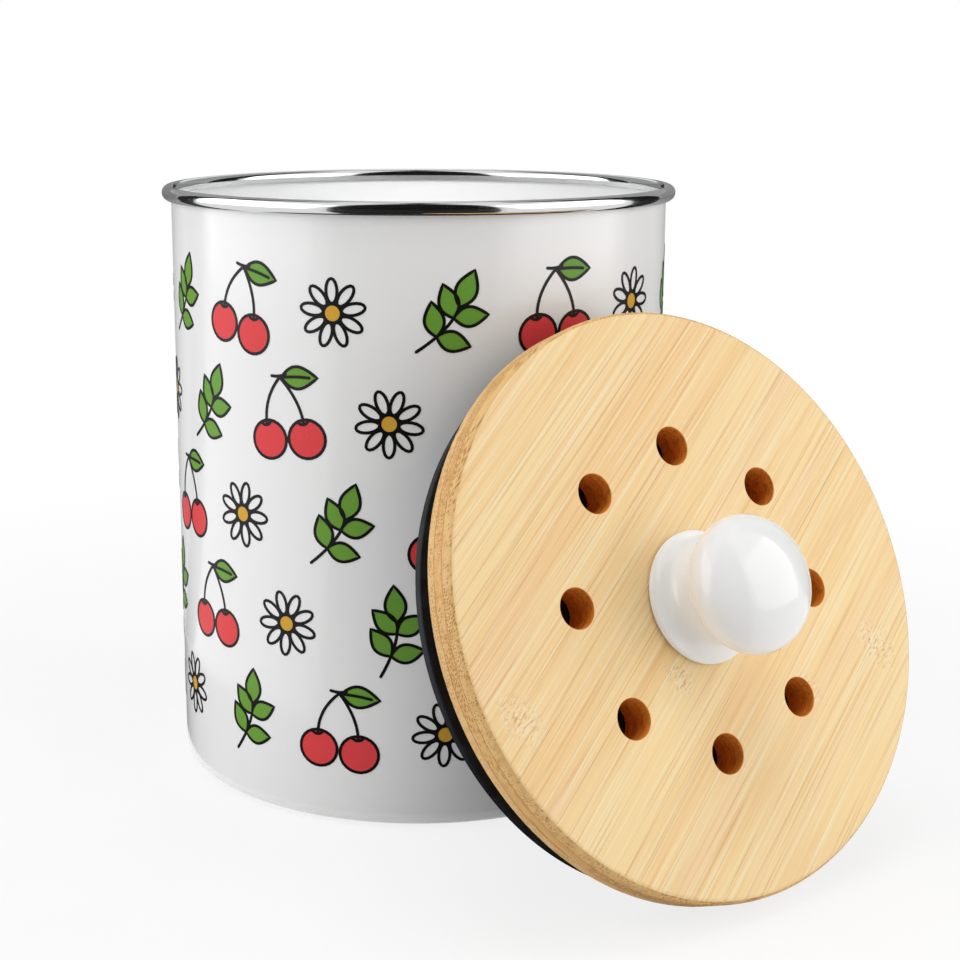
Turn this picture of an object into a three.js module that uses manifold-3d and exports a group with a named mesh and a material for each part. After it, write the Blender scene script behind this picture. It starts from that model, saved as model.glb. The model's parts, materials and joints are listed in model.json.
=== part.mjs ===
// Countertop compost caddy: an enamelled steel canister with a rolled rim band, and its
// vented bamboo lid, taken off and leaning against the front of the canister.
// Millimetres, +Z up. The origin is the middle of the canister's base, on the ground.
// The lid leans towards the canister from -Y, so its knob points to -Y and up.

import * as THREE from 'three';
import Module from 'manifold-3d';
import { mergeVertices } from 'three/addons/utils/BufferGeometryUtils.js';

// Driving dimensions of the canister
const BODY_RADIUS = 89;
const BODY_HEIGHT = 212;
const BODY_WALL = 0.8;
const CORNER_RADIUS = 6;
const BASE_GROOVE_RADIUS = 58;
const BASE_GROOVE_WIDTH = 12;
const BASE_GROOVE_DEPTH = 1.5;
const BASE_GROOVE_SLOPE = 2;

// Driving dimensions of the rolled rim
const BEAD_HEIGHT = 5.1;
const BEAD_OVERHANG = 3.3;
const BAND_SHEET = 0.5;
const BAND_SKIRT = 1.6;

// Driving dimensions of the bamboo board
const BOARD_OVERHANG = 1.2;
const PLY_THICKNESS = 3.8;
const GLUE_LINE = 0.3;
const BOARD_TOP_ROUND = 2.2;
const BOARD_BOTTOM_ROUND = 1;
const VENT_COUNT = 8;
const VENT_RADIUS = 6.25;
const VENT_INSET = 11.25;
const VENT_CHAMFER = 0.6;

// Driving dimensions of the knob and what fastens it
const FOOT_RADIUS = 21.2;
const FOOT_EDGE = 2.4;
const WAIST_RADIUS = 14.6;
const WAIST_HEIGHT = 9.5;
const HEAD_RADIUS = 21.6;
const HEAD_HALF_HEIGHT = 13.4;
const NECK_LENGTH = 3.4;
const SCREW_RADIUS = 1.95;
const SCREW_REACH = 12;
const SCREW_HEAD_RADIUS = 3.9;
const SCREW_HEAD_HEIGHT = 2.2;
const SCREW_SLOT_WIDTH = 1;
const SCREW_SLOT_DEPTH = 1.1;
const WASHER_RADIUS = 6;
const WASHER_THICKNESS = 0.9;
const INSERT_WALL = 1.7;
const INSERT_SPARE = 1.3;
const INSERT_INSET = 1;

// Driving dimensions of the filter housing under the board
const HOUSING_WALL = 2.4;
const HOUSING_PLATE = 2.4;
const UPPER_FLANGE = 3.6;
const LOWER_FLANGE = 2.4;
const LOWER_FLANGE_THICKNESS = 2.1;
const PLATE_RIM_WIDTH = 18.6;
const LEDGE_THICKNESS = 1.3;
const HUB_RADIUS = 14;
const HUB_WALL = 4;
const SPOKE_WIDTH = 4;
const SPOKE_COUNT = 4;

// Driving dimensions of the housing screws
const HOUSING_SCREW_RADIUS = 1.5;
const HOUSING_SCREW_HEAD_RADIUS = 3.4;
const HOUSING_SCREW_HEAD_HEIGHT = 1.9;
const HOUSING_SCREW_BITE = 2.4;
const HOUSING_SCREW_TIP = 2;

// Driving dimensions of the seal
const SEAL_SQUEEZE = 0.3;
const SEAL_REACH = 7.5;
const SEAL_DROP = 0.3;
const SEAL_LIP_THICKNESS = 3.2;
const SEAL_LIP_ROUND = 0.8;
const SEAL_BODY_WALL = 3.3;
const SEAL_UNDERCUT = 0.8;

// Driving dimensions of the filter pad and its bayonet cover
const PAD_THICKNESS = 7.8;
const PAD_SIDE_GAP = 0.8;
const PAD_ROUND = 1.2;
const COVER_THICKNESS = 2.4;
const LUG_COUNT = 3;
const LUG_REACH = 2.4;
const LUG_THICKNESS = 1.5;
const LUG_ANGLE = THREE.MathUtils.degToRad(30);
const LEDGE_OVERLAP_ANGLE = THREE.MathUtils.degToRad(3);
const STOP_ANGLE = THREE.MathUtils.degToRad(3);
const STOP_PLAY_ANGLE = THREE.MathUtils.degToRad(1);
const TWIST_ANGLE = THREE.MathUtils.degToRad(40);
const SLOT_WIDTH = 4;
const SLOT_FIRST_RADIUS = 20;
const SLOT_RING_STEP = 12.5;
const SLOT_EDGE_WIDTH = 14;
const SLOTS_IN_RING = 6;
const SLOT_BRIDGE = 6;
const GRIP_LENGTH = 26;
const GRIP_THICKNESS = 4;
const GRIP_HEIGHT = 7;

// Clearances
const SEAT_GAP = 0.3;
const RUNNING_GAP = 0.4;
const PILOT_GAP = 0.3;
const CUT_OVERRUN = 1;

// Pose of the lid beside the canister
const LEAN_ANGLE = THREE.MathUtils.degToRad(24);
const LID_ROLL = THREE.MathUtils.degToRad(-6);

// Facets on a full circle, and steps along a rounded edge
const LARGE_CIRCLE = 48;
const KNOB_CIRCLE = 28;
const SMALL_CIRCLE = 12;
const SLOT_CIRCLE = 36;
const EDGE_STEPS = 3;
const CORNER_STEPS = 4;
const HEAD_STEPS = 11;

// Heights in the lid's own frame: zero is the board's underside, and + is towards the knob
const CORE_BOTTOM = PLY_THICKNESS + GLUE_LINE;
const UPPER_BOTTOM = CORE_BOTTOM + PLY_THICKNESS + GLUE_LINE;
const BOARD_TOP = UPPER_BOTTOM + PLY_THICKNESS;
const KNOB_BOTTOM = BOARD_TOP + SEAT_GAP;
const PLATE_TOP = -SEAT_GAP;
const PLATE_BOTTOM = PLATE_TOP - HOUSING_PLATE;
const PAD_TOP = PLATE_BOTTOM - SEAT_GAP;
const PAD_BOTTOM = PAD_TOP - PAD_THICKNESS;
const COVER_TOP = PAD_BOTTOM - SEAT_GAP;
const COVER_BOTTOM = COVER_TOP - COVER_THICKNESS;
const LEDGE_TOP = COVER_TOP - LUG_THICKNESS - SEAT_GAP;
const HOUSING_BOTTOM = LEDGE_TOP - LEDGE_THICKNESS;
const SEAL_BOTTOM = HOUSING_BOTTOM - SEAL_DROP;

// Radii that follow from a neighbour: the board covers the rim, and the seal fills the mouth
const BOARD_RADIUS = BODY_RADIUS + BEAD_OVERHANG + BOARD_OVERHANG;
const SEAL_LIP_RADIUS = BODY_RADIUS - BODY_WALL + SEAL_SQUEEZE;
const HOUSING_RADIUS = SEAL_LIP_RADIUS - SEAL_REACH;
const POCKET_RADIUS = HOUSING_RADIUS - HOUSING_WALL;
const LUG_RADIUS = POCKET_RADIUS - RUNNING_GAP;
const COVER_RADIUS = LUG_RADIUS - LUG_REACH;
const LEDGE_RADIUS = COVER_RADIUS + RUNNING_GAP;
const WINDOW_RADIUS = POCKET_RADIUS - PLATE_RIM_WIDTH;
const HOUSING_SCREW_CIRCLE_RADIUS = WINDOW_RADIUS + PLATE_RIM_WIDTH / 2;
const VENT_CIRCLE_RADIUS = WINDOW_RADIUS - VENT_INSET;

const wasm = await Module();
wasm.setup();

// Materials, one for each real finish
const enamelWhite = new THREE.MeshStandardMaterial({ color: 0xf6f6f4, roughness: 0.16, metalness: 0 });
const polishedSteel = new THREE.MeshStandardMaterial({ color: 0xc9cacb, roughness: 0.12, metalness: 1 });
const bambooFace = new THREE.MeshStandardMaterial({ color: 0xf2ce93, roughness: 0.5, metalness: 0 });
const bambooCore = new THREE.MeshStandardMaterial({ color: 0xd9a560, roughness: 0.6, metalness: 0 });
const porcelain = new THREE.MeshStandardMaterial({ color: 0xf7f5f2, roughness: 0.08, metalness: 0 });
const brass = new THREE.MeshStandardMaterial({ color: 0xb8924a, roughness: 0.35, metalness: 1 });
const zincSteel = new THREE.MeshStandardMaterial({ color: 0xa9abae, roughness: 0.35, metalness: 1 });
const blackPlastic = new THREE.MeshStandardMaterial({ color: 0x1b1b1d, roughness: 0.45, metalness: 0 });
const blackSilicone = new THREE.MeshStandardMaterial({ color: 0x17181b, roughness: 0.6, metalness: 0 });
const charcoalFelt = new THREE.MeshStandardMaterial({ color: 0x2a2a2b, roughness: 0.95, metalness: 0 });

// A profile point: radius from the axis, and height
function at(radius, height) {
  return new THREE.Vector2(radius, height);
}

// Points on an elliptic arc from one angle to another; zero points outward, a quarter turn up
function arc(radius, height, halfWidth, halfHeight, from, to, steps) {
  const points = [];
  for (let i = 0; i <= steps; i += 1) {
    const angle = from + ((to - from) * i) / steps;
    points.push(at(radius + halfWidth * Math.cos(angle), height + halfHeight * Math.sin(angle)));
  }
  return points;
}

// A solid of revolution about Z; the profile runs anticlockwise with radius to the right
function turned(profile, segments) {
  const geometry = new THREE.LatheGeometry(profile, segments);
  geometry.rotateX(Math.PI / 2);
  return geometry;
}

// A turned ring, whose profile closes on itself
function turnedRing(profile, segments) {
  return turned([...profile, profile[0]], segments);
}

// A round bar along Z between two heights
function bar(bottom, top, radius, segments) {
  return turned([at(0, bottom), at(radius, bottom), at(radius, top), at(0, top)], segments);
}

// Points along an arc in the flat, with as many steps as its share of a full circle needs
function sweep(radius, from, to, circle) {
  const steps = Math.ceil((circle * Math.abs(to - from)) / (2 * Math.PI));
  return arc(0, 0, radius, radius, from, to, steps);
}

// A flat outline raised between two heights
function raised(shape, bottom, top) {
  const geometry = new THREE.ExtrudeGeometry(shape, { depth: top - bottom, bevelEnabled: false });
  geometry.translate(0, 0, bottom);
  return geometry;
}

// A closed solid for boolean work, made from a three.js geometry
function solidOf(geometry) {
  const bare = geometry.clone();
  bare.deleteAttribute('normal');
  bare.deleteAttribute('uv');
  const merged = mergeVertices(bare);
  const corners = merged.index.array;
  const triangles = [];
  for (let i = 0; i < corners.length; i += 3) {
    const [a, b, c] = [corners[i], corners[i + 1], corners[i + 2]];
    if (a !== b && b !== c && c !== a) triangles.push(a, b, c);
  }
  const vertProperties = new Float32Array(merged.attributes.position.array);
  const triVerts = new Uint32Array(triangles);
  return new wasm.Manifold(new wasm.Mesh({ numProp: 3, vertProperties, triVerts }));
}

// The same solid as a three.js geometry again
function geometryOf(solid) {
  const mesh = solid.getMesh();
  const geometry = new THREE.BufferGeometry();
  geometry.setAttribute('position', new THREE.BufferAttribute(mesh.vertProperties, 3));
  geometry.setIndex(new THREE.BufferAttribute(mesh.triVerts, 1));
  geometry.computeVertexNormals();
  return geometry;
}

function withCuts(geometry, cuts) {
  return geometryOf(cuts.reduce((solid, cut) => solid.subtract(solidOf(cut)), solidOf(geometry)));
}

function piece(name, geometry, material) {
  const mesh = new THREE.Mesh(geometry, material);
  mesh.name = name;
  return mesh;
}

// The place of one of a number of equal steps on a circle
function onCircle(radius, angle) {
  return { x: radius * Math.cos(angle), y: radius * Math.sin(angle) };
}

function placed(geometry, radius, angle) {
  const { x, y } = onCircle(radius, angle);
  return geometry.translate(x, y, 0);
}

// The middle of the rolled rim bead, and its half sizes
const BEAD_INNER_RADIUS = BODY_RADIUS - BODY_WALL - SEAT_GAP - BAND_SHEET;
const BEAD_CENTRE_RADIUS = (BEAD_INNER_RADIUS + BODY_RADIUS + BEAD_OVERHANG) / 2;
const BEAD_HALF_WIDTH = BEAD_CENTRE_RADIUS - BEAD_INNER_RADIUS;
const BEAD_HALF_HEIGHT = BEAD_HEIGHT / 2;
const BEAD_CENTRE_HEIGHT = BODY_HEIGHT - BEAD_HALF_HEIGHT;

// The drawn can: base with a pressed ring, rounded corner, straight wall and curled edge
function canisterShell() {
  const baseSide = (lift, inset) => {
    const low = BASE_GROOVE_RADIUS - BASE_GROOVE_WIDTH / 2;
    const high = BASE_GROOVE_RADIUS + BASE_GROOVE_WIDTH / 2;
    return [
      at(0, lift),
      at(low + inset, lift),
      at(low + BASE_GROOVE_SLOPE + inset, lift + BASE_GROOVE_DEPTH),
      at(high - BASE_GROOVE_SLOPE - inset, lift + BASE_GROOVE_DEPTH),
      at(high - inset, lift),
    ];
  };
  const corner = (radius) => {
    const centre = BODY_RADIUS - CORNER_RADIUS;
    return arc(centre, CORNER_RADIUS, radius, radius, -Math.PI / 2, 0, CORNER_STEPS);
  };
  const curl = (thickness) => {
    const halfWidth = BEAD_HALF_WIDTH - BAND_SHEET - SEAT_GAP - thickness;
    const halfHeight = BEAD_HALF_HEIGHT - BAND_SHEET - SEAT_GAP - thickness;
    const end = Math.PI / 10;
    return arc(BEAD_CENTRE_RADIUS, BEAD_CENTRE_HEIGHT, halfWidth, halfHeight, Math.PI, end, CORNER_STEPS);
  };
  const outside = [...baseSide(0, 0), ...corner(CORNER_RADIUS), ...curl(BODY_WALL)];
  const inside = [...baseSide(BODY_WALL, 0), ...corner(CORNER_RADIUS - BODY_WALL), ...curl(0)];
  return piece('canister_shell', turned([...outside, ...inside.reverse()], LARGE_CIRCLE), enamelWhite);
}

// The band: a skirt inside the mouth, over the curl, and tucked in against the wall below it
function rimBand() {
  const tuck = (BEAD_CENTRE_RADIUS - BODY_RADIUS - SEAT_GAP) / BEAD_HALF_WIDTH;
  const end = -Math.acos(-tuck);
  const roll = (inset, quarterSteps) => {
    const halfWidth = BEAD_HALF_WIDTH - inset;
    const halfHeight = BEAD_HALF_HEIGHT - inset;
    const part = (from, to, steps) =>
      arc(BEAD_CENTRE_RADIUS, BEAD_CENTRE_HEIGHT, halfWidth, halfHeight, from, to, steps);
    const crest = Math.PI / 2;
    return [...part(end, crest, 2 * quarterSteps), ...part(crest, Math.PI, quarterSteps).slice(1)];
  };
  const skirtBottom = BEAD_CENTRE_HEIGHT - BAND_SKIRT;
  const profile = [
    ...roll(0, EDGE_STEPS),
    at(BEAD_INNER_RADIUS, skirtBottom),
    at(BEAD_INNER_RADIUS + BAND_SHEET, skirtBottom),
    ...roll(BAND_SHEET, EDGE_STEPS - 1).reverse(),
  ];
  return piece('rim_band', turnedRing(profile, LARGE_CIRCLE), polishedSteel);
}

// One layer of the board, with its rounded edges and its holes
function ply(name, bottom, bottomRound, topRound, cuts, material) {
  const top = bottom + PLY_THICKNESS;
  const profile = [at(0, bottom)];
  if (bottomRound > 0) {
    const centre = BOARD_RADIUS - bottomRound;
    profile.push(...arc(centre, bottom + bottomRound, bottomRound, bottomRound, -Math.PI / 2, 0, EDGE_STEPS));
  } else {
    profile.push(at(BOARD_RADIUS, bottom));
  }
  if (topRound > 0) {
    const centre = BOARD_RADIUS - topRound;
    profile.push(...arc(centre, top - topRound, topRound, topRound, 0, Math.PI / 2, EDGE_STEPS));
  } else {
    profile.push(at(BOARD_RADIUS, top));
  }
  profile.push(at(0, top));
  return piece(name, withCuts(turned(profile, LARGE_CIRCLE), cuts), material);
}

// The vent holes, which are softened where they open in the board's face
function ventCuts() {
  const cuts = [];
  for (let i = 0; i < VENT_COUNT; i += 1) {
    const angle = (i * 2 * Math.PI) / VENT_COUNT;
    const wide = VENT_RADIUS + VENT_CHAMFER;
    const profile = [
      at(0, -CUT_OVERRUN),
      at(VENT_RADIUS, -CUT_OVERRUN),
      at(VENT_RADIUS, BOARD_TOP - VENT_CHAMFER),
      at(wide, BOARD_TOP),
      at(wide, BOARD_TOP + CUT_OVERRUN),
      at(0, BOARD_TOP + CUT_OVERRUN),
    ];
    cuts.push(placed(turned(profile, SMALL_CIRCLE), VENT_CIRCLE_RADIUS, angle));
  }
  return cuts;
}

// Angles of the spokes and housing screws: halfway between two vents
function spokeAngle(index) {
  return (index * 2 * Math.PI) / SPOKE_COUNT + Math.PI / VENT_COUNT;
}

// Height that the housing screws reach to, in the core ply
const HOUSING_SCREW_END = CORE_BOTTOM + HOUSING_SCREW_BITE;

function pilotCuts() {
  const cuts = [];
  for (let i = 0; i < SPOKE_COUNT; i += 1) {
    const radius = HOUSING_SCREW_RADIUS + PILOT_GAP;
    const hole = bar(-CUT_OVERRUN, HOUSING_SCREW_END + SEAT_GAP, radius, SMALL_CIRCLE);
    cuts.push(placed(hole, HOUSING_SCREW_CIRCLE_RADIUS, spokeAngle(i)));
  }
  return cuts;
}

function boardPlies() {
  const boreRadius = SCREW_RADIUS + PILOT_GAP;
  const bore = () => bar(-CUT_OVERRUN, BOARD_TOP + CUT_OVERRUN, boreRadius, SMALL_CIRCLE);
  const wellRadius = WASHER_RADIUS + PILOT_GAP;
  const well = bar(-CUT_OVERRUN, PLY_THICKNESS + CUT_OVERRUN, wellRadius, 2 * SMALL_CIRCLE);
  const upperCuts = [...ventCuts(), bore()];
  const coreCuts = [...ventCuts(), ...pilotCuts(), bore()];
  const lowerCuts = [...ventCuts(), ...pilotCuts(), well];
  return [
    ply('lid_upper_ply', UPPER_BOTTOM, 0, BOARD_TOP_ROUND, upperCuts, bambooFace),
    ply('lid_core_ply', CORE_BOTTOM, 0, 0, coreCuts, bambooCore),
    ply('lid_lower_ply', 0, BOARD_BOTTOM_ROUND, 0, lowerCuts, bambooFace),
  ];
}

// The hollow in the knob's foot that the insert is cemented in
const INSERT_RADIUS = SCREW_RADIUS + PILOT_GAP + INSERT_WALL;
const INSERT_BOTTOM = KNOB_BOTTOM + INSERT_INSET;
const INSERT_TOP = KNOB_BOTTOM + SCREW_REACH + INSERT_SPARE + INSERT_WALL;

// Porcelain knob: flared foot, hollow curve up to the waist, and a flattened ball
function knob() {
  const socketRadius = INSERT_RADIUS + SEAT_GAP;
  const flare = FOOT_RADIUS - WAIST_RADIUS;
  const flareHeight = WAIST_HEIGHT - FOOT_EDGE;
  const flareStart = -0.6 * Math.PI;
  const neck = -Math.acos(WAIST_RADIUS / HEAD_RADIUS);
  const headCentre = KNOB_BOTTOM + WAIST_HEIGHT + NECK_LENGTH - HEAD_HALF_HEIGHT * Math.sin(neck);
  const edge = FOOT_EDGE / 2;
  const profile = [
    at(0, INSERT_TOP + SEAT_GAP),
    at(socketRadius, INSERT_TOP + SEAT_GAP),
    at(socketRadius, KNOB_BOTTOM),
    ...arc(FOOT_RADIUS - edge, KNOB_BOTTOM + edge, edge, edge, -Math.PI / 2, Math.PI / 2, CORNER_STEPS),
    ...arc(FOOT_RADIUS, KNOB_BOTTOM + WAIST_HEIGHT, flare, flareHeight, flareStart, -Math.PI, CORNER_STEPS),
    ...arc(0, headCentre, HEAD_RADIUS, HEAD_HALF_HEIGHT, neck, Math.PI / 2, HEAD_STEPS),
  ];
  return piece('knob', turned(profile, KNOB_CIRCLE), porcelain);
}

// Brass insert: a blind tube that opens towards the board
function knobInsert() {
  const boreRadius = SCREW_RADIUS + PILOT_GAP;
  const profile = [
    at(0, INSERT_TOP - INSERT_WALL),
    at(boreRadius, INSERT_TOP - INSERT_WALL),
    at(boreRadius, INSERT_BOTTOM),
    at(INSERT_RADIUS, INSERT_BOTTOM),
    at(INSERT_RADIUS, INSERT_TOP),
    at(0, INSERT_TOP),
  ];
  return piece('knob_insert', turned(profile, SMALL_CIRCLE), brass);
}

// The washer bears on the core ply, in the well of the lower ply, and the screw on the washer
const WASHER_TOP = CORE_BOTTOM - SEAT_GAP;
const WASHER_BOTTOM = WASHER_TOP - WASHER_THICKNESS;
const SCREW_HEAD_TOP = WASHER_BOTTOM - SEAT_GAP;
const SCREW_HEAD_BOTTOM = SCREW_HEAD_TOP - SCREW_HEAD_HEIGHT;

function knobWasher() {
  const holeRadius = SCREW_RADIUS + PILOT_GAP;
  const profile = [
    at(holeRadius, WASHER_BOTTOM),
    at(WASHER_RADIUS, WASHER_BOTTOM),
    at(WASHER_RADIUS, WASHER_TOP),
    at(holeRadius, WASHER_TOP),
  ];
  return piece('knob_washer', turnedRing(profile, SMALL_CIRCLE), zincSteel);
}

// Pan head screw with a cross recess
function knobScrew() {
  const tip = KNOB_BOTTOM + SCREW_REACH;
  const round = SCREW_HEAD_HEIGHT / 2;
  const profile = [
    at(0, SCREW_HEAD_BOTTOM),
    ...arc(SCREW_HEAD_RADIUS - round, SCREW_HEAD_BOTTOM + round, round, round, -Math.PI / 2, 0, EDGE_STEPS),
    at(SCREW_HEAD_RADIUS, SCREW_HEAD_TOP),
    at(SCREW_RADIUS, SCREW_HEAD_TOP),
    at(SCREW_RADIUS, tip - SCREW_RADIUS / 2),
    at(SCREW_RADIUS / 2, tip),
    at(0, tip),
  ];
  const depth = SCREW_SLOT_DEPTH + CUT_OVERRUN;
  const cross = (width, length) => {
    const slot = new THREE.BoxGeometry(width, length, depth);
    return slot.translate(0, 0, SCREW_HEAD_BOTTOM - CUT_OVERRUN + depth / 2);
  };
  const slots = [cross(SCREW_SLOT_WIDTH, SCREW_HEAD_RADIUS), cross(SCREW_HEAD_RADIUS, SCREW_SLOT_WIDTH)];
  return piece('knob_screw', withCuts(turned(profile, SMALL_CIRCLE), slots), zincSteel);
}

// A flat sector of a ring between two angles, for ledges, stops and lugs
function ringSector(innerRadius, outerRadius, from, to, bottom, top) {
  const outer = sweep(outerRadius, from, to, LARGE_CIRCLE);
  const inner = sweep(innerRadius, to, from, LARGE_CIRCLE);
  return raised(new THREE.Shape([...outer, ...inner]), bottom, top);
}

// Moulded housing: plate with window and spokes, wall with two flanges for the seal,
// and inside its mouth a ledge with two stops for each lug of the cover
function filterHousing() {
  const flangeTop = HOUSING_BOTTOM + LOWER_FLANGE_THICKNESS;
  const wallProfile = [
    at(WINDOW_RADIUS, PLATE_BOTTOM),
    at(POCKET_RADIUS, PLATE_BOTTOM),
    at(POCKET_RADIUS, HOUSING_BOTTOM),
    at(HOUSING_RADIUS + LOWER_FLANGE, HOUSING_BOTTOM),
    at(HOUSING_RADIUS + LOWER_FLANGE, flangeTop),
    at(HOUSING_RADIUS, flangeTop),
    at(HOUSING_RADIUS, PLATE_BOTTOM),
    at(HOUSING_RADIUS + UPPER_FLANGE, PLATE_BOTTOM),
    at(HOUSING_RADIUS + UPPER_FLANGE, PLATE_TOP),
    at(WINDOW_RADIUS, PLATE_TOP),
  ];
  const hubProfile = [
    at(HUB_RADIUS - HUB_WALL, PLATE_BOTTOM),
    at(HUB_RADIUS, PLATE_BOTTOM),
    at(HUB_RADIUS, PLATE_TOP),
    at(HUB_RADIUS - HUB_WALL, PLATE_TOP),
  ];
  let solid = solidOf(turnedRing(wallProfile, LARGE_CIRCLE));
  solid = solid.add(solidOf(turnedRing(hubProfile, 2 * SMALL_CIRCLE)));
  for (let i = 0; i < SPOKE_COUNT; i += 1) {
    const inner = HUB_RADIUS - HUB_WALL / 2;
    const length = WINDOW_RADIUS + HUB_WALL / 2 - inner;
    const spoke = new THREE.BoxGeometry(length, SPOKE_WIDTH, HOUSING_PLATE);
    spoke.translate(inner + length / 2, 0, (PLATE_TOP + PLATE_BOTTOM) / 2);
    solid = solid.add(solidOf(spoke.rotateZ(spokeAngle(i))));
    solid = solid.subtract(solidOf(countersink(i)));
  }
  const root = POCKET_RADIUS + HOUSING_WALL / 2;
  const half = LUG_ANGLE / 2;
  for (let i = 0; i < LUG_COUNT; i += 1) {
    const centre = (i * 2 * Math.PI) / LUG_COUNT;
    const closedStop = centre + half + STOP_PLAY_ANGLE;
    const openStop = centre - half - TWIST_ANGLE - STOP_PLAY_ANGLE;
    const ledgeStart = centre - half - LEDGE_OVERLAP_ANGLE;
    const ledge = [ledgeStart, closedStop + STOP_ANGLE, HOUSING_BOTTOM, LEDGE_TOP];
    const closed = [closedStop, closedStop + STOP_ANGLE, HOUSING_BOTTOM, COVER_TOP];
    const open = [openStop - STOP_ANGLE, openStop, HOUSING_BOTTOM, COVER_TOP];
    for (const [from, to, bottom, top] of [ledge, closed, open]) {
      solid = solid.add(solidOf(ringSector(LEDGE_RADIUS, root, from, to, bottom, top)));
    }
  }
  return piece('filter_housing', geometryOf(solid), blackPlastic);
}

// The seat that a countersunk screw needs in the housing's plate
function countersink(index) {
  const head = HOUSING_SCREW_HEAD_RADIUS + PILOT_GAP;
  const shank = HOUSING_SCREW_RADIUS + PILOT_GAP;
  const profile = [
    at(0, PLATE_BOTTOM - CUT_OVERRUN),
    at(head, PLATE_BOTTOM - CUT_OVERRUN),
    at(head, PLATE_BOTTOM),
    at(shank, PLATE_BOTTOM + HOUSING_SCREW_HEAD_HEIGHT),
    at(shank, PLATE_TOP + CUT_OVERRUN),
    at(0, PLATE_TOP + CUT_OVERRUN),
  ];
  return placed(turned(profile, SMALL_CIRCLE), HOUSING_SCREW_CIRCLE_RADIUS, spokeAngle(index));
}

// Countersunk wood screw with a pointed end
function housingScrew(index) {
  const shoulder = PLATE_BOTTOM + HOUSING_SCREW_HEAD_HEIGHT;
  const profile = [
    at(0, PLATE_BOTTOM),
    at(HOUSING_SCREW_HEAD_RADIUS, PLATE_BOTTOM),
    at(HOUSING_SCREW_RADIUS, shoulder),
    at(HOUSING_SCREW_RADIUS, HOUSING_SCREW_END - HOUSING_SCREW_TIP),
    at(0, HOUSING_SCREW_END),
  ];
  const screw = piece(`housing_screw_${index + 1}`, turned(profile, SMALL_CIRCLE), zincSteel);
  const { x, y } = onCircle(HOUSING_SCREW_CIRCLE_RADIUS, spokeAngle(index));
  screw.position.set(x, y, 0);
  return screw;
}

// Silicone ring: a body in the housing's groove, and a lip that flares out to the can's wall
function sealRing() {
  const inner = HOUSING_RADIUS + SEAT_GAP;
  const outer = inner + SEAL_BODY_WALL;
  const lipInner = HOUSING_RADIUS + LOWER_FLANGE + SEAT_GAP;
  const top = PLATE_BOTTOM - SEAT_GAP;
  const bottom = SEAL_BOTTOM;
  const lipTop = bottom + SEAL_LIP_THICKNESS;
  const step = HOUSING_BOTTOM + LOWER_FLANGE_THICKNESS + SEAT_GAP;
  const tip = SEAL_LIP_RADIUS - SEAL_LIP_ROUND;
  const profile = [
    at(lipInner, bottom),
    ...arc(tip, bottom + SEAL_LIP_ROUND, SEAL_LIP_ROUND, SEAL_LIP_ROUND, -Math.PI / 2, 0, EDGE_STEPS - 1),
    ...arc(tip, lipTop - SEAL_LIP_ROUND, SEAL_LIP_ROUND, SEAL_LIP_ROUND, 0, Math.PI / 2, EDGE_STEPS - 1),
    at(outer, lipTop + SEAL_UNDERCUT),
    at(outer, top),
    at(inner, top),
    at(inner, step),
    at(lipInner, step),
  ];
  return piece('seal_ring', turnedRing(profile, LARGE_CIRCLE), blackSilicone);
}

// Charcoal pad: a thick felt disc with soft edges, held in the housing's pocket
function filterPad() {
  const radius = POCKET_RADIUS - PAD_SIDE_GAP;
  const centre = radius - PAD_ROUND;
  const profile = [
    at(0, PAD_BOTTOM),
    ...arc(centre, PAD_BOTTOM + PAD_ROUND, PAD_ROUND, PAD_ROUND, -Math.PI / 2, 0, EDGE_STEPS - 1),
    ...arc(centre, PAD_TOP - PAD_ROUND, PAD_ROUND, PAD_ROUND, 0, Math.PI / 2, EDGE_STEPS - 1),
    at(0, PAD_TOP),
  ];
  return piece('filter_pad', turned(profile, LARGE_CIRCLE), charcoalFelt);
}

// One curved slot with square ends, between two angles
function slotPath(radius, from, to) {
  const outer = sweep(radius + SLOT_WIDTH / 2, from, to, SLOT_CIRCLE);
  const inner = sweep(radius - SLOT_WIDTH / 2, to, from, SLOT_CIRCLE);
  return new THREE.Path([...outer, ...inner]);
}

// Bayonet cover: rings of curved slots, three lugs on the edge and a bar to grip
function filterCover() {
  const disc = new THREE.Shape(sweep(COVER_RADIUS, 0, 2 * Math.PI, LARGE_CIRCLE).slice(1));
  const pitch = (2 * Math.PI) / SLOTS_IN_RING;
  const lastRadius = COVER_RADIUS - SLOT_EDGE_WIDTH - SLOT_WIDTH / 2;
  for (let radius = SLOT_FIRST_RADIUS; radius < lastRadius; radius += SLOT_RING_STEP) {
    const bridge = SLOT_BRIDGE / radius;
    for (let i = 0; i < SLOTS_IN_RING; i += 1) {
      disc.holes.push(slotPath(radius, i * pitch + bridge / 2, (i + 1) * pitch - bridge / 2));
    }
  }
  let solid = solidOf(raised(disc, COVER_BOTTOM, COVER_TOP));
  for (let i = 0; i < LUG_COUNT; i += 1) {
    const centre = (i * 2 * Math.PI) / LUG_COUNT;
    const inner = COVER_RADIUS - LUG_REACH;
    const from = centre - LUG_ANGLE / 2;
    const to = centre + LUG_ANGLE / 2;
    const lug = ringSector(inner, LUG_RADIUS, from, to, COVER_TOP - LUG_THICKNESS, COVER_TOP);
    solid = solid.add(solidOf(lug));
  }
  solid = solid.add(solidOf(coverGrip()));
  return piece('filter_cover', geometryOf(solid), blackPlastic);
}

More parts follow.
